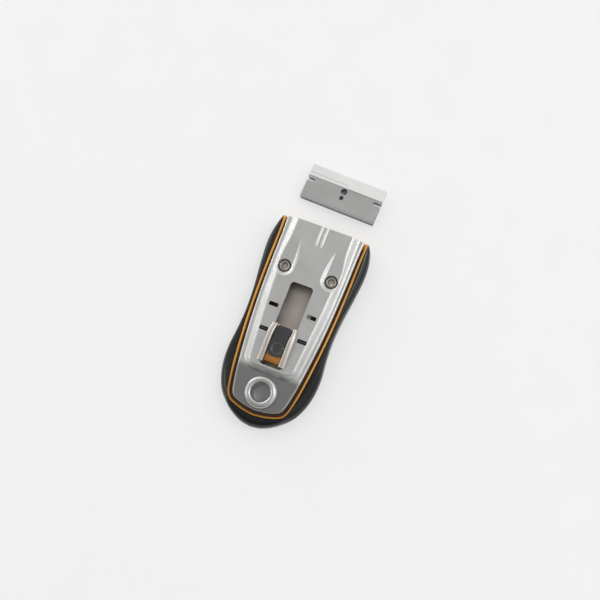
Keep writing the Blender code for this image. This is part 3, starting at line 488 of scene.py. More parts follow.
# Grip
# Black moulded plastic with a soft gloss: two wings and a tail round the housing, a rounded outer
# section, and a floor ring that carries everything. The housing drops into its pocket.
BACK_PLATE_INSET = 0.0024
BACK_PLATE_SETBACK = 0.0030
GRIP_SECTION_STEPS = 20
GRIP_GRAIN = 0.0003
GRIP_RELIEF = 0.000004
GRIP_SHARES = (
    (0.010, 0.890), (0.024, 0.928), (0.080, 0.984), (0.152, 1.0), (0.26, 0.963), (0.385, 0.903),
    (0.50, 0.877), (0.59, 0.893), (0.68, 0.926), (0.76, 0.910), (0.835, 0.836), (0.90, 0.700),
    (0.957, 0.460), (0.990, 0.215), (1.0, 0.0),
)
# Section shares: the way from the outer outline to the pocket, then the height
GRIP_SECTION_SHARES = (
    (0.46, 0.0), (0.17, 0.075), (0.03, 0.24), (0.0, 0.45), (0.07, 0.66), (0.27, 0.85), (0.60, 0.96),
    (0.995, 1.0),
)

grip_low, grip_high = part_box("grip")
back_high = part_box("back_plate")[1]
grip_outline = outline(GRIP_SHARES, front_y - grip_low.y, grip_high.x)
grip_outline[:, 0] *= grip_high.x / grip_outline[:, 0].max()
pocket_outline = grown(housing_outline, SEAT_GAP, SEAT_GAP, front_y)
grip = stacked("black_grip", [
    flat_ring(grip_outline + (pocket_outline - grip_outline) * max(0, inward), height * grip_high.z)
    for inward, height in smooth_path(GRIP_SECTION_SHARES, GRIP_SECTION_STEPS)
])
pocket_room = grown(housing_outline, SEAT_GAP, SEAT_GAP, ahead)
floor_inset = SEAT_GAP - BACK_PLATE_INSET
floor_window = grown(plate_outline, floor_inset, floor_inset, front_y - BACK_PLATE_SETBACK + SEAT_GAP)
combine(
    grip,
    upright("pocket", pocket_room, back_high.z, over),
    upright("floor_window", floor_window, -OVERRUN, back_high.z + OVERRUN),
)
black_plastic = plastic_finish(
    "black_plastic", (0.005, 0.005, 0.006), (0.009, 0.009, 0.010), 0.16, 0.24, GRIP_GRAIN, GRIP_RELIEF,
    Specular_IOR_Level=0.36,
)
place_piece(grip, black_plastic, "handle", "black_grip", "grip")

# Top plate
# Stainless sheet pressed in one hit: a raised platform with sloping sides, two stiffening ribs, a
# teardrop pocket for each rivet and a turned-down edge. Window and latch notches are pierced.
BEND_RADIUS = 0.0010
BEND_STEPS = 5
FLANGE_STEPS = 2
PLATFORM_END_SLOPE = 0.0036
PLATFORM_REAR_MARGIN = 0.0006
BRIM_WIDTH = 0.0012
SHOULDER_SHARE = 0.30
PLATFORM_SHOULDER_SHARE = 0.32
RIB_ASIDE = 0.00135
RIB_HALF_WIDTH = 0.0007
RIB_HEIGHT = 0.00030
RIB_LENGTH = 0.0120
SEAT_RADIUS = 0.00275
SHELF_RADIUS = 0.0035
SHELF_SHARE = 0.62
POCKET_RADIUS = 0.0049
POCKET_RUNOUT = 0.0132
POCKET_START_SHARE = 0.008
POCKET_OPENING = 0.0025
POCKET_LEAN_SHARE = 0.04
POCKET_RUN_POWER = 1.5
POCKET_BLEND = 0.0005
PLATFORM_CORNER = 0.0030
WINDOW_HALF_WIDTH = 0.00577
WINDOW_CORNER = 0.0018
RIVET_TO_WINDOW = 0.0062
NOTCH_ASIDE = 0.0098
NOTCH_HALF_WIDTH = 0.00235
NOTCH_HALF_HEIGHT = 0.0010
NOTCH_CORNER = 0.0003
WORKING_STROKE = 0.0126
TAIL_CORNER_SHARE = 0.962
CORNER_STEPS = 8
FRONT_ROWS_DEPTH = 0.009
POCKET_ROWS_AHEAD = 0.005
ROW_MARGIN = 0.001
PLACE_STEPS = 1e8
TABLE_REACH_SHARE = 0.04
TABLE_SAMPLES = 9
# Share of the colour kept under the painted shade over the plate's rear flat
REAR_SHADE_SHARE = 0.40
# Columns of the plate's grid: the share of the half width that a run ends at, then their number
COLUMN_RUNS = ((0.12, 14), (0.30, 8), (0.80, 56), (1.0, 22))
# Distance behind the front, then the half width of the platform and of its sloping side
PLATFORM_SHARES = ((0.0, 0.677), (0.21, 0.692), (0.42, 0.650), (0.57, 0.590), (0.68, 0.552), (0.83, 0.50))
SLOPE_SHARES = ((0.0, 0.215), (0.21, 0.205), (0.42, 0.225), (0.60, 0.215), (0.83, 0.18))

window_front_y = rivet_y - RIVET_TO_WINDOW
lock_low, lock_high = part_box("lock_spring")
lock_y = (lock_low.y + lock_high.y) / 2
platform_rear = front_y - window_rear_y + PLATFORM_REAR_MARGIN
platform_foot = platform_rear + PLATFORM_END_SLOPE
inner_outline = grown(plate_outline, -BEND_RADIUS, -BEND_RADIUS, front_y)
inner_side = inner_outline[:SIDE_STEPS]
side_distance = front_y - inner_side[:, 1]
tail_corner = TAIL_CORNER_SHARE * plate_length


def table_at(shares, distance):
    """A value from a table of shares, smoothed a little along the plate."""
    places, values = zip(*shares)
    around = distance / plate_length + np.linspace(-TABLE_REACH_SHARE, TABLE_REACH_SHARE, TABLE_SAMPLES)
    return float(np.interp(around, places, values).mean())


def half_at(distance):
    """Half width of the plate's flat top at a distance behind the front."""
    return float(np.interp(distance, side_distance, inner_side[:, 0]))


def tail_at(x):
    """How far behind the front the tail's edge lies at a place across."""
    return float(np.interp(abs(x), inner_side[::-1, 0], side_distance[::-1]))


def ramp(share, shoulder=SHOULDER_SHARE):
    """0 to 1 with a straight middle and a rounded shoulder at each end."""
    share = min(1.0, max(0.0, share))
    slope = 1 / (1 - shoulder)
    if share < shoulder:
        return slope * share * share / (2 * shoulder)
    if share > 1 - shoulder:
        return 1 - slope * (1 - share) ** 2 / (2 * shoulder)
    return slope * (share - shoulder / 2)


def soft_min(first, second, reach):
    """The lower of two heights, with the crease between them rounded."""
    share = min(1.0, max(0.0, (second - first) / reach / 2 + 1 / 2))
    return second + (first - second) * share - reach * share * (1 - share)


def pocket_height(x, distance):
    """The pressed surface round a rivet: a round seat in a shelf, which runs out ahead and to the side."""
    along = (front_y - rivet_y) - distance
    inward = rivet_aside - abs(x)
    seat = ramp((math.hypot(inward, along) - SEAT_RADIUS) / (SHELF_RADIUS - SEAT_RADIUS))
    inward += max(0, along) * POCKET_LEAN_SHARE
    away = abs(inward) if along > 0 else math.hypot(inward, along)
    wall = max(0, (away - SHELF_RADIUS) / (POCKET_RADIUS - SHELF_RADIUS))
    if inward < 0:
        wall *= 1 - ramp(along / POCKET_OPENING)
    run = (along - SHELF_RADIUS) / (POCKET_RUNOUT - SHELF_RADIUS)
    run = ((run + math.sqrt(run * run + POCKET_START_SHARE)) / 2) ** POCKET_RUN_POWER
    return rim_high + PLATFORM_HEIGHT * (SHELF_SHARE * seat + (1 - SHELF_SHARE) * (run + wall))


def rib_height(x, distance):
    """The two low ribs at the front."""
    across = abs(abs(x) - RIB_ASIDE) / RIB_HALF_WIDTH
    if across >= 1 or distance >= RIB_LENGTH:
        return 0.0
    fade = ramp((RIB_LENGTH - distance) / RIB_LENGTH * 3)
    return RIB_HEIGHT * math.cos(across * math.pi / 2) ** 2 * fade


def plate_height(x, distance):
    """Height of the plate's upper surface."""
    platform = plate_half_width * table_at(PLATFORM_SHARES, distance)
    slope = plate_half_width * table_at(SLOPE_SHARES, distance)
    slope = min(slope, half_at(distance) - BRIM_WIDTH + BEND_RADIUS - platform)
    across = abs(x) - platform + PLATFORM_CORNER
    along = distance - platform_rear + PLATFORM_CORNER
    away = max(across, along)
    width = slope if across > along else PLATFORM_END_SLOPE
    if across > 0 and along > 0:
        away = math.hypot(across, along)
        width = slope + (PLATFORM_END_SLOPE - slope) * along * along / (away * away)
    fall = ramp((away - PLATFORM_CORNER) / width, PLATFORM_SHOULDER_SHARE)
    height = rim_high + PLATFORM_HEIGHT * (1 - fall)
    reach = POCKET_BLEND * max(SEAT_GAP, height - rim_high) / PLATFORM_HEIGHT
    height = soft_min(height, pocket_height(x, distance), reach)
    return height + rib_height(x, distance)


def spread(*runs):
    """Places along one direction: (end, count) runs, one after the other from zero."""
    places = [0.0]
    for end, count in runs:
        places += list(np.linspace(places[-1], end, count + 1)[1:])
    return places


def grid(name, columns, rows, size=1):
    """A flat grid about the origin, to be pressed into shape."""
    deselect()
    bpy.ops.mesh.primitive_grid_add(x_subdivisions=columns, y_subdivisions=rows, size=size)
    piece = bpy.context.object
    piece.name = name
    return piece


def place_key(corner):
    """A corner's place as whole numbers, to know the corner again after an extrusion."""
    return tuple(round(value * PLACE_STEPS) for value in corner.co)


def give_thickness(piece, sheet):
    """Thickens a surface downwards into a sheet."""
    wall = piece.modifiers.new("sheet", "SOLIDIFY")
    wall.thickness = sheet
    wall.offset = -1
    wall.use_even_offset = False
    bpy.ops.object.modifier_apply(modifier=wall.name)


rivet_distance = front_y - rivet_y
row_places = spread(
    (FRONT_ROWS_DEPTH, 14), (rivet_distance - POCKET_ROWS_AHEAD, 34),
    (rivet_distance + POCKET_RADIUS + ROW_MARGIN, 60), (platform_rear - PLATFORM_CORNER, 30),
    (platform_foot + ROW_MARGIN, 26), (tail_corner, 12),
)
half_columns = spread(*COLUMN_RUNS)
columns = [-place for place in half_columns[:0:-1]] + half_columns

plate = grid("pressed_plate", len(columns) - 1, len(row_places) - 1)
for vertex in plate.data.vertices:
    column = columns[round((vertex.co.x + 1 / 2) * (len(columns) - 1))]
    distance = row_places[round((1 / 2 - vertex.co.y) * (len(row_places) - 1))]
    x = column * half_at(distance)
    bend = max(0.0, (distance - platform_foot) / (tail_corner - platform_foot))
    back = distance + bend * bend * (tail_at(column * half_at(tail_corner)) - tail_corner)
    vertex.co = (x, front_y - back, plate_height(x, distance))

bpy.ops.object.mode_set(mode="EDIT")
bpy.ops.mesh.select_mode(type="EDGE")
bpy.ops.mesh.select_all(action="DESELECT")
work = bmesh.from_edit_mesh(plate.data)
rim_edges = [
    edge for edge in work.edges
    if edge.is_boundary and not all(corner.co.y > front_y - SEAT_GAP / 10 for corner in edge.verts)
]
for edge in rim_edges:
    edge.select = True
rim_start = {}
for edge in rim_edges:
    for corner in edge.verts:
        rim_start.setdefault(corner, []).append(edge.other_vert(corner))
turns = {}
for corner, others in rim_start.items():
    run = others[0].co - (others[1].co if len(others) == 2 else corner.co)
    away = Vector((run.y, -run.x, 0)).normalized()
    middle = Vector((0, front_y - platform_rear, 0))
    if away.dot(corner.co - middle) < 0:
        away = -away
    if len(others) == 1:
        away = Vector((math.copysign(1, corner.co.x), 0, 0))
    turns[place_key(corner)] = (corner.co.copy(), away)
bmesh.update_edit_mesh(plate.data)
steps = [(math.sin(turn), 1 - math.cos(turn)) for turn in np.linspace(0, math.pi / 2, BEND_STEPS + 1)[1:]]
flange = [(BEND_RADIUS * out, BEND_RADIUS * down) for out, down in steps]
flange += [(BEND_RADIUS, down) for down in np.linspace(BEND_RADIUS, FLANGE_DROP, FLANGE_STEPS + 1)[1:]]
for out, down in flange:
    bpy.ops.mesh.extrude_edges_move(TRANSFORM_OT_translate={"value": (0, 0, 0)})
    work = bmesh.from_edit_mesh(plate.data)
    moved = {}
    for corner in [corner for corner in work.verts if corner.select]:
        start, away = turns[place_key(corner)]
        corner.co = start + away * out - Vector((0, 0, down))
        moved[place_key(corner)] = (start, away)
    turns = moved
    bmesh.update_edit_mesh(plate.data)
bpy.ops.mesh.select_all(action="SELECT")
bpy.ops.mesh.normals_make_consistent(inside=False)
work = bmesh.from_edit_mesh(plate.data)
work.faces.ensure_lookup_table()
if max(work.faces, key=lambda face: face.calc_center_median().z).normal.z < 0:
    bpy.ops.mesh.flip_normals()
bpy.ops.object.mode_set(mode="OBJECT")
give_thickness(plate, PLATE_SHEET)


def round_cornered(half_width, low, high, radius, aside=0.0):
    """A rectangle with round corners, centred aside of the middle."""
    loop = []
    for side, edge, quarter in ((1, high, 0), (-1, high, 1), (-1, low, 2), (1, low, 3)):
        inward = -1 if edge == high else 1
        for angle in np.linspace(quarter, quarter + 1, CORNER_STEPS + 1) * math.pi / 2:
            x = aside + side * (half_width - radius) + radius * math.cos(angle)
            loop.append((x, edge + inward * radius + radius * math.sin(angle)))
    return loop


def pierced(name, loop):
    """A punch that goes through the plate."""
    return upright(name, loop, seat_high - OVERRUN, platform_high + OVERRUN)


window_loop = round_cornered(WINDOW_HALF_WIDTH, window_rear_y, window_front_y, WINDOW_CORNER)
punches = [pierced("window", window_loop)]
for notch_y in (lock_y, lock_y + WORKING_STROKE):
    for side in (-1, 1):
        low_y = notch_y - NOTCH_HALF_HEIGHT
        high_y = notch_y + NOTCH_HALF_HEIGHT
        loop = round_cornered(NOTCH_HALF_WIDTH, low_y, high_y, NOTCH_CORNER, side * NOTCH_ASIDE)
        punches.append(pierced("notch", loop))
under = seat_high - OVERRUN
for side in (-1, 1):
    punches.append(drum("rivet_hole", side * rivet_aside, rivet_y, RIVET_HOLE_RADIUS, under, over))
punches.append(drum("eyelet_hole", 0, eyelet_y, EYELET_HOLE_RADIUS, under, over + OVERRUN))
combine(plate, *punches)
# The plate's colour carries painted shade over the rear flat behind the platform.
stainless = steel_finish(
    "satin_stainless", (0.60, 0.60, 0.59), (0.68, 0.68, 0.67), 0.32, 0.42,
    painted_rear_shade=(
        REAR_SHADE_SHARE, front_y - platform_foot, front_y - platform_rear,
        rim_high - BEND_RADIUS / 2, rim_high,
    ),
)
place_piece(plate, stainless, "handle", "stainless_plate", "top_plate")

# Rivets
# Tubular steel rivets. Each is rolled over into a round bead in its pocket and spread flat against
# the back plate. The bore stays open.
RIVET_BORE_RADIUS = 0.0015
RIVET_SHANK_RADIUS = 0.0019
BEAD_STEPS = 9
FOOT_THICKNESS = 0.0004
MERGE_GAP = 0.000002
TURNED_GRAIN = (0.0006, 0.0006, 0.0006)


def turned(name, profile, x, y, steps=ROUND_STEPS):
    """A closed profile of (radius, height), spun about an upright axis."""
    deselect()
    bpy.ops.mesh.primitive_circle_add(vertices=len(profile), fill_type="NOTHING")
    piece = bpy.context.object
    piece.name = name
    for vertex, (radius, height) in zip(piece.data.vertices, profile):
        vertex.co = (x + radius, y, height)
    bpy.ops.object.mode_set(mode="EDIT")
    bpy.ops.mesh.select_all(action="SELECT")
    bpy.ops.mesh.spin(steps=steps, angle=math.tau, center=(x, y, 0), axis=(0, 0, 1))
    bpy.ops.mesh.select_all(action="SELECT")
    bpy.ops.mesh.remove_doubles(threshold=MERGE_GAP)
    end_edit()
    return piece


def bead(inner, outer, base, top):
    """A rolled bead's upper outline, from its bore to its rim."""
    middle = (inner + outer) / 2
    half = (outer - inner) / 2
    angles = np.linspace(math.pi, 0, BEAD_STEPS)
    return [(middle + half * math.cos(turn), base + (top - base) * math.sin(turn)) for turn in angles]


rivet_steel = steel_finish("rivet_steel", (0.36, 0.32, 0.27), (0.50, 0.46, 0.40), 0.26, 0.40, TURNED_GRAIN)
for label, side in (("left", -1), ("right", 1)):
    foot_high = rivet_low.z + FOOT_THICKNESS
    head_low = rim_high + SEAT_GAP
    outer = (rivet_high.x - rivet_low.x) / 2
    profile = bead(RIVET_BORE_RADIUS, outer, head_low, rivet_high.z)
    profile += [
        (RIVET_SHANK_RADIUS, head_low), (RIVET_SHANK_RADIUS, foot_high),
        (outer - FOOT_THICKNESS / 2, foot_high), (outer, foot_high - FOOT_THICKNESS / 2),
        (outer - FOOT_THICKNESS / 2, rivet_low.z), (RIVET_BORE_RADIUS + FOOT_THICKNESS / 2, rivet_low.z),
        (RIVET_BORE_RADIUS, foot_high),
    ]
    rivet = turned(f"tubular_rivet_{label}", profile, side * rivet_aside, rivet_y)
    place_piece(rivet, rivet_steel, "handle", "rivet_steel", f"rivet_{label}")

# Hanging eyelet
# A bright rolled eyelet that lines the hanging hole. Its raised ring stands on the plate and its
# foot is rolled out under the back plate, so that it clamps the rear of the handle.
EYELET_BORE_RADIUS = 0.0048
RING_BORE_RADIUS = 0.0045
EYELET_WALL = 0.0006
EYELET_FOOT_RADIUS = 0.0063
RING_SECTION_STEPS = 22
RING_GRAIN = (0.0008, 0.0008, 0.0008)
# Section shares: the way from the bore to the ring's outside, then the height
RING_SECTION_SHARES = (
    (0.0, 0.30), (0.06, 0.66), (0.20, 0.92), (0.42, 1.0), (0.66, 0.90), (0.86, 0.62), (0.97, 0.25),
    (1.0, 0.0),
)

ring_radius = (eyelet_high.x - eyelet_low.x) / 2
head_low = rim_high + SEAT_GAP
foot_high = eyelet_low.z + FOOT_THICKNESS
profile = [
    (RING_BORE_RADIUS + across * (ring_radius - RING_BORE_RADIUS), head_low + up * (eyelet_high.z - head_low))
    for across, up in smooth_path(RING_SECTION_SHARES, RING_SECTION_STEPS)
]
profile += [
    (EYELET_BORE_RADIUS + EYELET_WALL, head_low), (EYELET_BORE_RADIUS + EYELET_WALL, foot_high),
    (EYELET_FOOT_RADIUS - FOOT_THICKNESS / 2, foot_high),
    (EYELET_FOOT_RADIUS, foot_high - FOOT_THICKNESS / 2),
    (EYELET_FOOT_RADIUS - FOOT_THICKNESS / 2, eyelet_low.z),
    (EYELET_BORE_RADIUS + FOOT_THICKNESS / 2, eyelet_low.z), (EYELET_BORE_RADIUS, foot_high),
]
eyelet = turned("rolled_eyelet", profile, 0, eyelet_y, 2 * ROUND_STEPS)
bright_steel = steel_finish("bright_steel", (0.54, 0.54, 0.53), (0.62, 0.62, 0.61), 0.24, 0.34, RING_GRAIN)
place_piece(eyelet, bright_steel, "handle", "eyelet_steel", "hang_eyelet")

# Blade carrier and its small parts
# A T-shaped steel strip that slides in the housing, with a peg for the blade, two guide pins for the
# slider and a riveted clamp. All are plain blanked or turned steel, oiled, so the solids are kept.
carrier_steel = steel_finish("oiled_steel", (0.44, 0.40, 0.36), (0.58, 0.54, 0.49), 0.36, 0.54)
small_steel = steel_finish("turned_steel", (0.52, 0.52, 0.51), (0.62, 0.62, 0.61), 0.24, 0.38, TURNED_GRAIN)
spring_steel = steel_finish("spring_steel", (0.26, 0.26, 0.27), (0.36, 0.36, 0.38), 0.28, 0.42)
dress("blade_carrier", carrier_steel)
dress("blade_clamp", spring_steel)
for node in ("blade_peg", "clamp_rivet_left", "clamp_rivet_right", "guide_pin_front", "guide_pin_rear"):
    dress(node, small_steel)

# Press spring
# A bowed leaf of spring steel that stands on the carrier between the guide pins. It holds the slider
# up. The real leaf flattens as the slider is pressed, but this mesh keeps its bow.
BOW_SHEET = 0.0004
BOW_COLUMNS = 4
BOW_ROWS = 24

bow_low, bow_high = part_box("press_spring")
bow = grid("bowed_leaf", BOW_COLUMNS, BOW_ROWS)
for vertex in bow.data.vertices:
    x = vertex.co.x * (bow_high.x - bow_low.x)
    y = (bow_low.y + bow_high.y) / 2 + vertex.co.y * (bow_high.y - bow_low.y)
    lift = (bow_high.z - bow_low.z - BOW_SHEET) * math.cos(vertex.co.y * math.pi) ** 2
    vertex.co = (x, y, bow_low.z + lift + BOW_SHEET)
give_thickness(bow, BOW_SHEET)
place_piece(bow, spring_steel, "carrier", "spring_steel", "press_spring")
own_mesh(bow)

# Blades
# Ground carbon-steel leaves, 40 mm wide, each with a keyhole and side notches and a bright folded
# spine crimped along its back. One is loaded on the carrier; four spares lie stacked ahead of it.
SPINE_SHEET = 0.0003
SPINE_FOLD_STEPS = 6
SPINE_STEP_DEPTH = 0.0016
SPINE_STEP_DROP = 0.00016
SPINE_STEP_END = 0.0014
DIMPLE_ASIDE = 0.0156
DIMPLE_RADIUS = 0.0009
DIMPLE_DEPTH = 0.00016
DIMPLE_FROM_BACK = 0.0026
SPINE_COLUMNS = 90
SPINE_ROWS = 20
GRIND_WIDTH = 0.0012
GRIND_BLEND = 0.00005
LEAF_RELIEF = 0.000001
CROSS_GRAIN = (GRAIN_LENGTH, GRAIN_WIDTH, GRAIN_WIDTH)
STACK_TURN = math.radians(-2.2)

spine_low, spine_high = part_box("loaded_spine")
spine_depth = spine_high.y - spine_low.y
blade_depth = blade_high.y - spine_low.y
half_fold = (spine_high.z - spine_low.z) / 2
half_hollow = half_fold - SPINE_SHEET
blade_half_width = blade_high.x


def spine_ring(x):
    """The folded spine's section at one place across, about the blade's own middle."""
    back = blade_depth / 2
    front = back - spine_depth
    ring = []
    for y in np.linspace(front, back - half_fold, SPINE_ROWS):
        height = half_fold
        if x < SPINE_STEP_END:
            height -= SPINE_STEP_DROP * (1 - ramp((y - front - SPINE_STEP_DEPTH) / SPINE_SHEET))
        away = math.hypot(abs(x) - DIMPLE_ASIDE, y - back + DIMPLE_FROM_BACK) / DIMPLE_RADIUS
        height -= DIMPLE_DEPTH * ramp(1 - away)
        ring.append((x, y, height))
    for turn in np.linspace(math.pi / 2, -math.pi / 2, SPINE_FOLD_STEPS + 2)[1:-1]:
        ring.append((x, back - half_fold + half_fold * math.cos(turn), half_fold * math.sin(turn)))
    ring += [(x, back - half_fold, -half_fold), (x, front, -half_fold), (x, front, -half_hollow)]
    for turn in np.linspace(-math.pi / 2, math.pi / 2, SPINE_FOLD_STEPS):
        inside = back - half_fold
        ring.append((x, inside + half_hollow * math.cos(turn), half_hollow * math.sin(turn)))
    return ring + [(x, front, half_hollow)]


spine_places = sorted(
    list(np.linspace(-blade_half_width, blade_half_width, SPINE_COLUMNS))
    + [SPINE_STEP_END - BOW_SHEET / 4, SPINE_STEP_END]
)
first_spine = stacked("folded_spine", [spine_ring(x) for x in spine_places])


def blade_finish(name, centre, turn):
    """Blade steel: satin along the leaf, with a ground facet at the cutting edge."""
    material, place = start_finish(name, 1.0)
    settled = place.node("ShaderNodeMapping", {"vector_type": "TEXTURE"}, {
        "Vector": place, "Location": centre, "Rotation": (0, 0, turn),
    })
    facet_end = GRIND_WIDTH - blade_depth / 2
    facet = 1 - settled.axis(1).step(facet_end - GRIND_BLEND, facet_end + GRIND_BLEND)
    satin = settled.noise(CROSS_GRAIN, 3.0, 0.6)
    ground = settled.noise(ROLLED_GRAIN, 2.0)
    clouds = settled.noise(CLOUD_SIZE, 2.0)
    lines = satin * (1 - facet) + ground * facet
    colour = (lines * 0.5 + clouds * 0.5).step(0.3, 0.7).blend((0.56, 0.56, 0.55, 1), (0.66, 0.66, 0.65, 1))
    colour = (facet * 0.7).blend(colour, (0.70, 0.70, 0.70, 1))
    roughness = 0.24 + lines * 0.14 - facet * 0.06
    return end_finish(material, colour, roughness, lines, LEAF_RELIEF)


spine_steel = steel_finish(
    "bright_spine_steel", (0.86, 0.86, 0.85), (0.92, 0.92, 0.91), 0.52, 0.64, CROSS_GRAIN,
)
placed = [("loaded_blade", "loaded_spine", math.pi, "carrier")]
for count in (1, 2, 3, 4):
    placed.append((f"spare_blade_{count}", f"spare_spine_{count}", STACK_TURN, "spare_blades"))
for leaf_node, spine_node, turn, body in placed:
    low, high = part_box(spine_node)
    offset = Matrix.Rotation(turn, 3, "Z") @ Vector((0, (blade_depth - spine_depth) / 2, 0))
    centre = (low + high) / 2 - offset
    dress(leaf_node, blade_finish(f"{leaf_node}_steel", centre, turn))
    spine = bpy.data.objects.new(f"folded_{spine_node}", first_spine.data.copy())
    bpy.context.collection.objects.link(spine)
    spine.data.transform(Matrix.Translation(centre) @ Matrix.Rotation(turn, 4, "Z"))
    place_piece(spine, spine_steel, body, "spine_steel", spine_node)
bpy.data.objects.remove(first_spine, do_unlink=True)

# Slider block
# An orange moulded block that passes through the window and slides on the two guide pins. A cross
# tunnel holds the lock spring, and a rounded lip stands up behind the thumb pad.
NECK_CORNER = 0.0010
BLOCK_ROUNDING = 0.0002
LIP_LENGTH = 0.0042
LIP_HALF_WIDTH = 0.0037
LIP_ASIDE = -0.0003
LIP_END_DROP_SHARE = 0.25
LIP_STATIONS = 9
LIP_SECTION_STEPS = 24
PIN_TOP_ROOM = 0.0012
TUNNEL_HEIGHT = 0.0008
# Section shares of the lip: the way from its front to its rear, then the height
LIP_SHARES = (
    (0.0, 0.50), (0.10, 0.68), (0.29, 0.72), (0.33, 0.90), (0.42, 1.0), (0.60, 0.98), (0.86, 0.74),
    (0.97, 0.40), (1.0, 0.0),
)

pin_low, pin_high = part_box("guide_pin_front")
rear_pin_low, rear_pin_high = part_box("guide_pin_rear")
saddle_low, saddle_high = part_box("slider_saddle")
block_top = saddle_low.z - SEAT_GAP
neck_half_width = neck_high.x


def neck_ring(inset, height):
    """The neck's outline, drawn in a little, at one height."""
    loop = round_cornered(neck_half_width - inset, neck_low.y + inset, neck_high.y - inset, NECK_CORNER)
    return flat_ring(loop, height)


slider_block = stacked("slider_neck", [
    neck_ring(BLOCK_ROUNDING, neck_low.z), neck_ring(0, neck_low.z + BLOCK_ROUNDING),
    neck_ring(0, block_top - BLOCK_ROUNDING), neck_ring(BLOCK_ROUNDING, block_top),
])
lip_rings = []
for across in np.linspace(-1, 1, LIP_STATIONS):
    x = LIP_ASIDE + across * LIP_HALF_WIDTH
    rise = (neck_high.z - block_top) * (1 - LIP_END_DROP_SHARE * across ** 4)
    ring = [
        (x, neck_low.y + LIP_LENGTH * (1 - along), block_top + rise * min(1, up))
        for along, up in smooth_path(LIP_SHARES, LIP_SECTION_STEPS)
    ]
    ring += [(x, neck_low.y, block_top - SEAT_GAP), (x, neck_low.y + LIP_LENGTH, block_top - SEAT_GAP)]
    lip_rings.append(ring)
combine(slider_block, stacked("lip", lip_rings), operation="UNION")
pin_radius = (pin_high.x - pin_low.x) / 2 + SEAT_GAP
bore_low = neck_low.z - OVERRUN
bore_high = pin_high.z + PIN_TOP_ROOM
combine(
    slider_block,
    drum("front_bore", 0, (pin_low.y + pin_high.y) / 2, pin_radius, bore_low, bore_high),
    drum("rear_bore", 0, (rear_pin_low.y + rear_pin_high.y) / 2, pin_radius, bore_low, bore_high),
    block(
        "tunnel", (-neck_half_width - OVERRUN, lock_low.y - SEAT_GAP, lock_low.z - SEAT_GAP),
        (neck_half_width + OVERRUN, lock_high.y + SEAT_GAP, lock_low.z + TUNNEL_HEIGHT),
    ),
)
block_plastic = plastic_finish("block_plastic", (0.36, 0.13, 0.020), (0.50, 0.20, 0.032), 0.20, 0.34)
place_piece(slider_block, block_plastic, "button", "orange_block", "slider_block")

# Lock spring
# A cross leaf of spring steel in the block. Its two ends are turned up into tabs that stand in a pair
# of notches. Away from the notches the tabs are held down under the plate.
LEAF_SHEET = 0.0005
TAB_HALF_WIDTH = 0.0019
TAB_HALF_THICKNESS = 0.0005
EDGE_ROUNDING = 0.00012
CROWN_ROUNDING = 0.00035

latch = block("lock_leaf", lock_low, (lock_high.x, lock_high.y, lock_low.z + LEAF_SHEET))
tabs = []
for side in (-1, 1):
    middle = side * NOTCH_ASIDE
    low = (middle - TAB_HALF_WIDTH, lock_y - TAB_HALF_THICKNESS, lock_low.z + LEAF_SHEET / 2)
    tabs.append(block("tab", low, (middle + TAB_HALF_WIDTH, lock_y + TAB_HALF_THICKNESS, lock_high.z)))
combine(latch, *tabs, operation="UNION")
crown_low = platform_high - PLATE_SHEET
soften(latch, lambda edge: min(corner.co.z for corner in edge.verts) > crown_low, CROWN_ROUNDING)
soften(latch, sharp_edge, EDGE_ROUNDING)
blued_steel = steel_finish("blued_steel", (0.06, 0.06, 0.07), (0.12, 0.12, 0.13), 0.28, 0.42, TURNED_GRAIN)
place_piece(latch, blued_steel, "button", "spring_steel", "lock_spring")
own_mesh(latch)

# Slider saddle
# A bright pressed steel saddle clipped over the block. Two raised cheeks run along it and overhang
# the window's edges, with the thumb pad between them.
SADDLE_SHEET = 0.0007
SADDLE_RISE = 0.00215
SADDLE_TIP_SHARE = 0.90
CHEEK_FOOT_SHARE = 0.58
CHEEK_REACH_SHARE = 0.38
CHEEK_BULGE_SHARE = 0.17
CHEEK_SWELL_SHARE = 0.04
CHEEK_SIDE_SHARES = (0.90, 1.03)
CHEEK_BULGE_START_SHARE = 0.10
SADDLE_SECTION_STEPS = 34
SADDLE_LENGTH_STEPS = 30
SADDLE_GRAIN = (0.0004, 0.0004, 0.0004)
# Section shares: half width, then height. Length shares: the way from front to rear, then height
SADDLE_SECTION_SHARES = (
    (0.0, 0.0), (0.30, 0.0), (0.51, 0.01), (0.55, 0.16), (0.58, 0.52), (0.62, 0.84), (0.70, 0.99),
    (0.82, 0.97), (0.93, 0.83), (1.0, 0.58),
)
SADDLE_LENGTH_SHARES = ((0.0, 0.66), (0.14, 0.87), (0.35, 1.0), (0.6, 0.97), (0.85, 0.81), (1.0, 0.66))

web_high = block_top + SEAT_GAP + SADDLE_SHEET


def cheek_share(width, along):
    """How far a place across the saddle is drawn in, at a share of the way from its front to its rear."""
    taper = 1 - (1 - SADDLE_TIP_SHARE) * (1 - ramp(along * 4)) * abs(width)
    inner = max(0, 1 - abs(abs(width) - CHEEK_FOOT_SHARE) / CHEEK_REACH_SHARE)
    bulge, side = CHEEK_BULGE_SHARE, CHEEK_SIDE_SHARES[0]
    if width <= 0:
        bulge, side = -CHEEK_SWELL_SHARE, CHEEK_SIDE_SHARES[1]
    outer = 1 + (side - 1) * ramp(abs(width) * 2 - 1)
    return outer * (taper - bulge * inner * ramp((along - CHEEK_BULGE_START_SHARE) * 4))


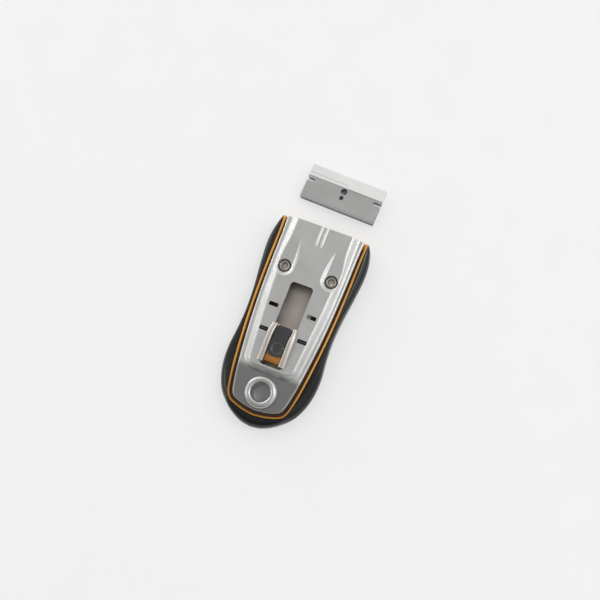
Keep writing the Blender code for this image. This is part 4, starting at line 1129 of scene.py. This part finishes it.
section = smooth_path(SADDLE_SECTION_SHARES, SADDLE_SECTION_STEPS)
saddle_columns = [(-width, rise) for width, rise in section[:0:-1]] + [tuple(point) for point in section]
saddle_rows = smooth_path(SADDLE_LENGTH_SHARES, SADDLE_LENGTH_STEPS)
saddle = grid("pressed_saddle", len(saddle_columns) - 1, len(saddle_rows) - 1)
for vertex in saddle.data.vertices:
    width, rise = saddle_columns[round((vertex.co.x + 1 / 2) * (len(saddle_columns) - 1))]
    along, full = saddle_rows[round((1 / 2 - vertex.co.y) * (len(saddle_rows) - 1))]
    x = width * cheek_share(width, along) * saddle_high.x
    y = saddle_high.y - along * (saddle_high.y - saddle_low.y)
    vertex.co = (x, y, web_high + rise * full * SADDLE_RISE)
give_thickness(saddle, SADDLE_SHEET)
opening = LIP_HALF_WIDTH + SEAT_GAP
combine(saddle, block(
    "lip_opening", (LIP_ASIDE - opening, saddle_low.y - OVERRUN, web_high - OVERRUN),
    (LIP_ASIDE + opening, neck_low.y + LIP_LENGTH + SEAT_GAP, saddle_high.z + OVERRUN),
))
saddle_steel = steel_finish(
    "polished_steel", (0.54, 0.50, 0.45), (0.64, 0.60, 0.55), 0.26, 0.40, SADDLE_GRAIN,
)
place_piece(saddle, saddle_steel, "button", "saddle_steel", "slider_saddle")

# Thumb pad
# A dark glossy moulded pad in the saddle's hollow, dished along its length, with a low round ring for
# the thumb near its rear. Its sides follow the two cheeks.
PAD_FOOT_SHARE = 0.545
PAD_SIDE_GAP = 0.00015
PAD_FRONT_CORNER = 0.0012
PAD_REAR_CORNER = 0.0026
PAD_DISH = 0.00020
PAD_EDGE_DROP = 0.00016
PAD_RING_RADIUS = 0.0027
PAD_RING_HALF_WIDTH = 0.00045
PAD_RING_HEIGHT = 0.00025
PAD_SINK = 0.00014
PAD_RING_FROM_REAR = 0.0038
PAD_COLUMNS = 32
PAD_ROWS = 64
PAD_SIDE_POWER = 12
PAD_END_POWER = 24
PAD_GRAIN = 0.0004
PAD_RELIEF = 0.000002

pad_low, pad_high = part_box("thumb_pad")
pad_middle = (pad_low.y + pad_high.y) / 2
pad_half_length = (pad_high.y - pad_low.y) / 2


def pad_side(side, y, room):
    """How far out one side of the pad reaches, with its corners rounded."""
    along = (saddle_high.y - y) / (saddle_high.y - saddle_low.y)
    half = PAD_FOOT_SHARE * cheek_share(side * PAD_FOOT_SHARE, along) * saddle_high.x - PAD_SIDE_GAP
    corner = PAD_FRONT_CORNER if y > pad_middle else PAD_REAR_CORNER
    into = max(0, corner - room)
    return half - corner + math.sqrt(max(0, corner * corner - into * into))


pad = grid("moulded_pad", PAD_COLUMNS, PAD_ROWS, size=2)
for vertex in pad.data.vertices:
    y = pad_middle + vertex.co.y * pad_half_length
    room = pad_half_length * (1 - abs(vertex.co.y))
    right, left = (pad_side(side, y, room) for side in (1, -1))
    x = (right - left) / 2 + vertex.co.x * (right + left) / 2
    away = abs(math.hypot(x, y - pad_low.y - PAD_RING_FROM_REAR) - PAD_RING_RADIUS) / PAD_RING_HALF_WIDTH
    edge = PAD_EDGE_DROP * max(vertex.co.x ** PAD_SIDE_POWER, vertex.co.y ** PAD_END_POWER)
    height = PAD_RING_HEIGHT * ramp(1 - away) - PAD_SINK - PAD_DISH * (1 - vertex.co.x ** 2) - edge
    vertex.co = (x, y, pad_high.z + height)
bpy.ops.object.mode_set(mode="EDIT")
bpy.ops.mesh.select_mode(type="EDGE")
bpy.ops.mesh.select_all(action="SELECT")
bpy.ops.mesh.region_to_loop()
bpy.ops.mesh.extrude_edges_move(TRANSFORM_OT_translate={"value": (0, 0, 0)})
work = bmesh.from_edit_mesh(pad.data)
for corner in work.verts:
    if corner.select:
        corner.co.z = pad_low.z
bmesh.update_edit_mesh(pad.data)
bpy.ops.mesh.edge_face_add()
end_edit()
pad_plastic = plastic_finish(
    "pad_plastic", (0.030, 0.030, 0.030), (0.042, 0.042, 0.041), 0.12, 0.20, PAD_GRAIN, PAD_RELIEF,
    Coat_Weight=0.6, Coat_Roughness=0.08,
)
place_piece(pad, pad_plastic, "button", "pad_plastic", "thumb_pad")

# Floor, light and camera
# A plain pale floor, a sky that is brighter ahead, at the sides and at the horizon, and five soft
# lamps for the slopes, the wings and the saddle. The camera stands where the photograph was taken.
FLOOR_SIZE = 8.0
FLOOR_DROP = 0.00005
FLOOR_SPECKLE = 0.02
FLOOR_RELIEF = 0.00001
CAMERA_PLACE = (0.05553, -0.07001, 0.39274)
CAMERA_TURN = (12.174, 3.901, 21.462)
CAMERA_LENS = 48.356
LAMPS = (
    ("left_strip", (-1.10, 0.39, 0.15), (0.50, 0.10), 0.9),
    ("front_left_lamp", (-0.95, 0.75, 0.34), (0.60, 0.24), 1.1),
    ("rear_left_lamp", (-1.05, -0.36, 0.42), (0.40, 0.30), 0.8),
    ("right_lamp", (0.95, 0.30, 0.56), (0.50, 0.36), 0.9),
    ("wing_lamp", (0.48, 0.32, 1.00), (0.16, 0.16), 1.0),
)
# The sky's strength overhead, what it loses just ahead of that, its strength well behind and well
# ahead, what the sides add, what the low sky loses, and its strength at the horizon
SKY_TOP = 0.47
SKY_DIP = 0.20
SKY_BACK = 0.28
SKY_FRONT = 0.95
SKY_LEFT = 0.45
SKY_RIGHT = 0.42
SKY_LOW_SHARE = 0.45
SKY_HORIZON = 0.90
# Where each of these starts and is full, by the direction ahead, across or up
BACK_EDGE = (-0.75, -0.40)
FRONT_EDGE = (0.42, 0.75)
DIP_REAR = (-0.04, 0.03)
DIP_FRONT = (0.06, 0.13)
LEFT_EDGE = (-0.45, -0.22)
LEFT_REAR = (-0.45, -0.15)
RIGHT_EDGE = (0.15, 0.40)
RIGHT_REAR = (-0.60, -0.20)
RIGHT_LOW = (0.20, 0.50)
LOW_TOP = (0.10, 0.45)
LOW_LEFT = (-0.75, -0.25)
HORIZON_TOP = (0.04, 0.24)
FLOOR_GLOW_SHARE = 0.55
HOLE_SHADE_START = 0.0068
HOLE_SHADE_RADIUS = 0.0085

deselect()
bpy.ops.mesh.primitive_plane_add(size=FLOOR_SIZE)
floor = bpy.context.object
floor.name = "floor"
floor_paint, place = start_finish("floor_paint", 0.0)
speckle = place.noise(FLOOR_SPECKLE, 2.0)
tint = speckle.step(0.3, 0.7).blend((0.90, 0.90, 0.90, 1), (0.92, 0.92, 0.92, 1))
end_finish(floor_paint, tint, 0.6 + speckle * 0.1, speckle, FLOOR_RELIEF)
seen = speckle.node("ShaderNodeLightPath", output="Is Camera Ray")
for ray in ("Is Glossy Ray", "Is Transmission Ray"):
    seen = seen.math("MAXIMUM", seen, speckle.node("ShaderNodeLightPath", output=ray))
# Painted shade on the floor: under the spare blades' keyholes and the hanging hole, its glow is taken away in
# a small disc.
for above in ("spare_blade_1", "hang_eyelet"):
    shade_low, shade_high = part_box(above)
    shade_place = ((shade_low.x + shade_high.x) / 2, (shade_low.y + shade_high.y) / 2, 0)
    away = place.node("ShaderNodeVectorMath", {"operation": "DISTANCE"}, {0: place, 1: shade_place}, 1)
    seen = seen * away.step(HOLE_SHADE_START, HOLE_SHADE_RADIUS)
glow = speckle.node("ShaderNodeEmission", {}, {"Color": (1, 1, 1, 1), "Strength": 1.0})
paint = Shade(floor_paint.node_tree, floor_paint.node_tree.nodes["Principled BSDF"].outputs[0])
mixed = speckle.node("ShaderNodeMixShader", {}, {0: seen * FLOOR_GLOW_SHARE, 1: paint, 2: glow})
surface = floor_paint.node_tree.nodes["Material Output"].inputs["Surface"]
floor_paint.node_tree.links.new(mixed.socket, surface)
floor.data.materials.append(floor_paint)
floor.location.z = -FLOOR_DROP

for name, spot, size, power in LAMPS:
    lamp = bpy.data.lights.new(name, "AREA")
    lamp.shape = "RECTANGLE"
    lamp.size, lamp.size_y = size
    lamp.energy = power
    holder = bpy.data.objects.new(name, lamp)
    bpy.context.collection.objects.link(holder)
    holder.location = spot
    holder.rotation_euler = (-Vector(spot)).to_track_quat("-Z", "Y").to_euler()
    holder.visible_camera = False

world = bpy.data.worlds.new("studio")
bpy.context.scene.world = world
world.use_nodes = True
sky = world.node_tree.nodes["Background"]
direction = Shade(world.node_tree, world.node_tree.nodes.new("ShaderNodeTexCoord").outputs["Generated"])
sideways, forwards, upwards = (direction.axis(index) for index in range(3))
strength = SKY_TOP + (1 - forwards.step(*BACK_EDGE)) * (SKY_BACK - SKY_TOP)
strength = strength + forwards.step(*FRONT_EDGE) * (SKY_FRONT - SKY_TOP)
strength = strength - forwards.step(*DIP_REAR) * (1 - forwards.step(*DIP_FRONT)) * SKY_DIP
strength = strength + (1 - sideways.step(*LEFT_EDGE)) * forwards.step(*LEFT_REAR) * SKY_LEFT
right = sideways.step(*RIGHT_EDGE) * forwards.step(*RIGHT_REAR) * upwards.step(*RIGHT_LOW)
strength = strength + right * SKY_RIGHT
low_sky = (1 - upwards.step(*LOW_TOP)) * sideways.step(*LOW_LEFT)
strength = strength * (1 - low_sky * SKY_LOW_SHARE)
strength = strength + (1 - upwards.step(*HORIZON_TOP)) * (SKY_HORIZON - strength)
world.node_tree.links.new(strength.socket, sky.inputs["Strength"])
sky.inputs["Color"].default_value = (1, 1, 1, 1)

camera = bpy.data.objects.new("camera", bpy.data.cameras.new("camera"))
bpy.context.collection.objects.link(camera)
camera.location = CAMERA_PLACE
camera.rotation_euler = [math.radians(turn) for turn in CAMERA_TURN]
camera.data.lens = CAMERA_LENS
camera.data.sensor_width = 36.0
camera.data.clip_start = 0.01
bpy.context.scene.camera = camera
bpy.context.scene.view_settings.view_transform = "Standard"
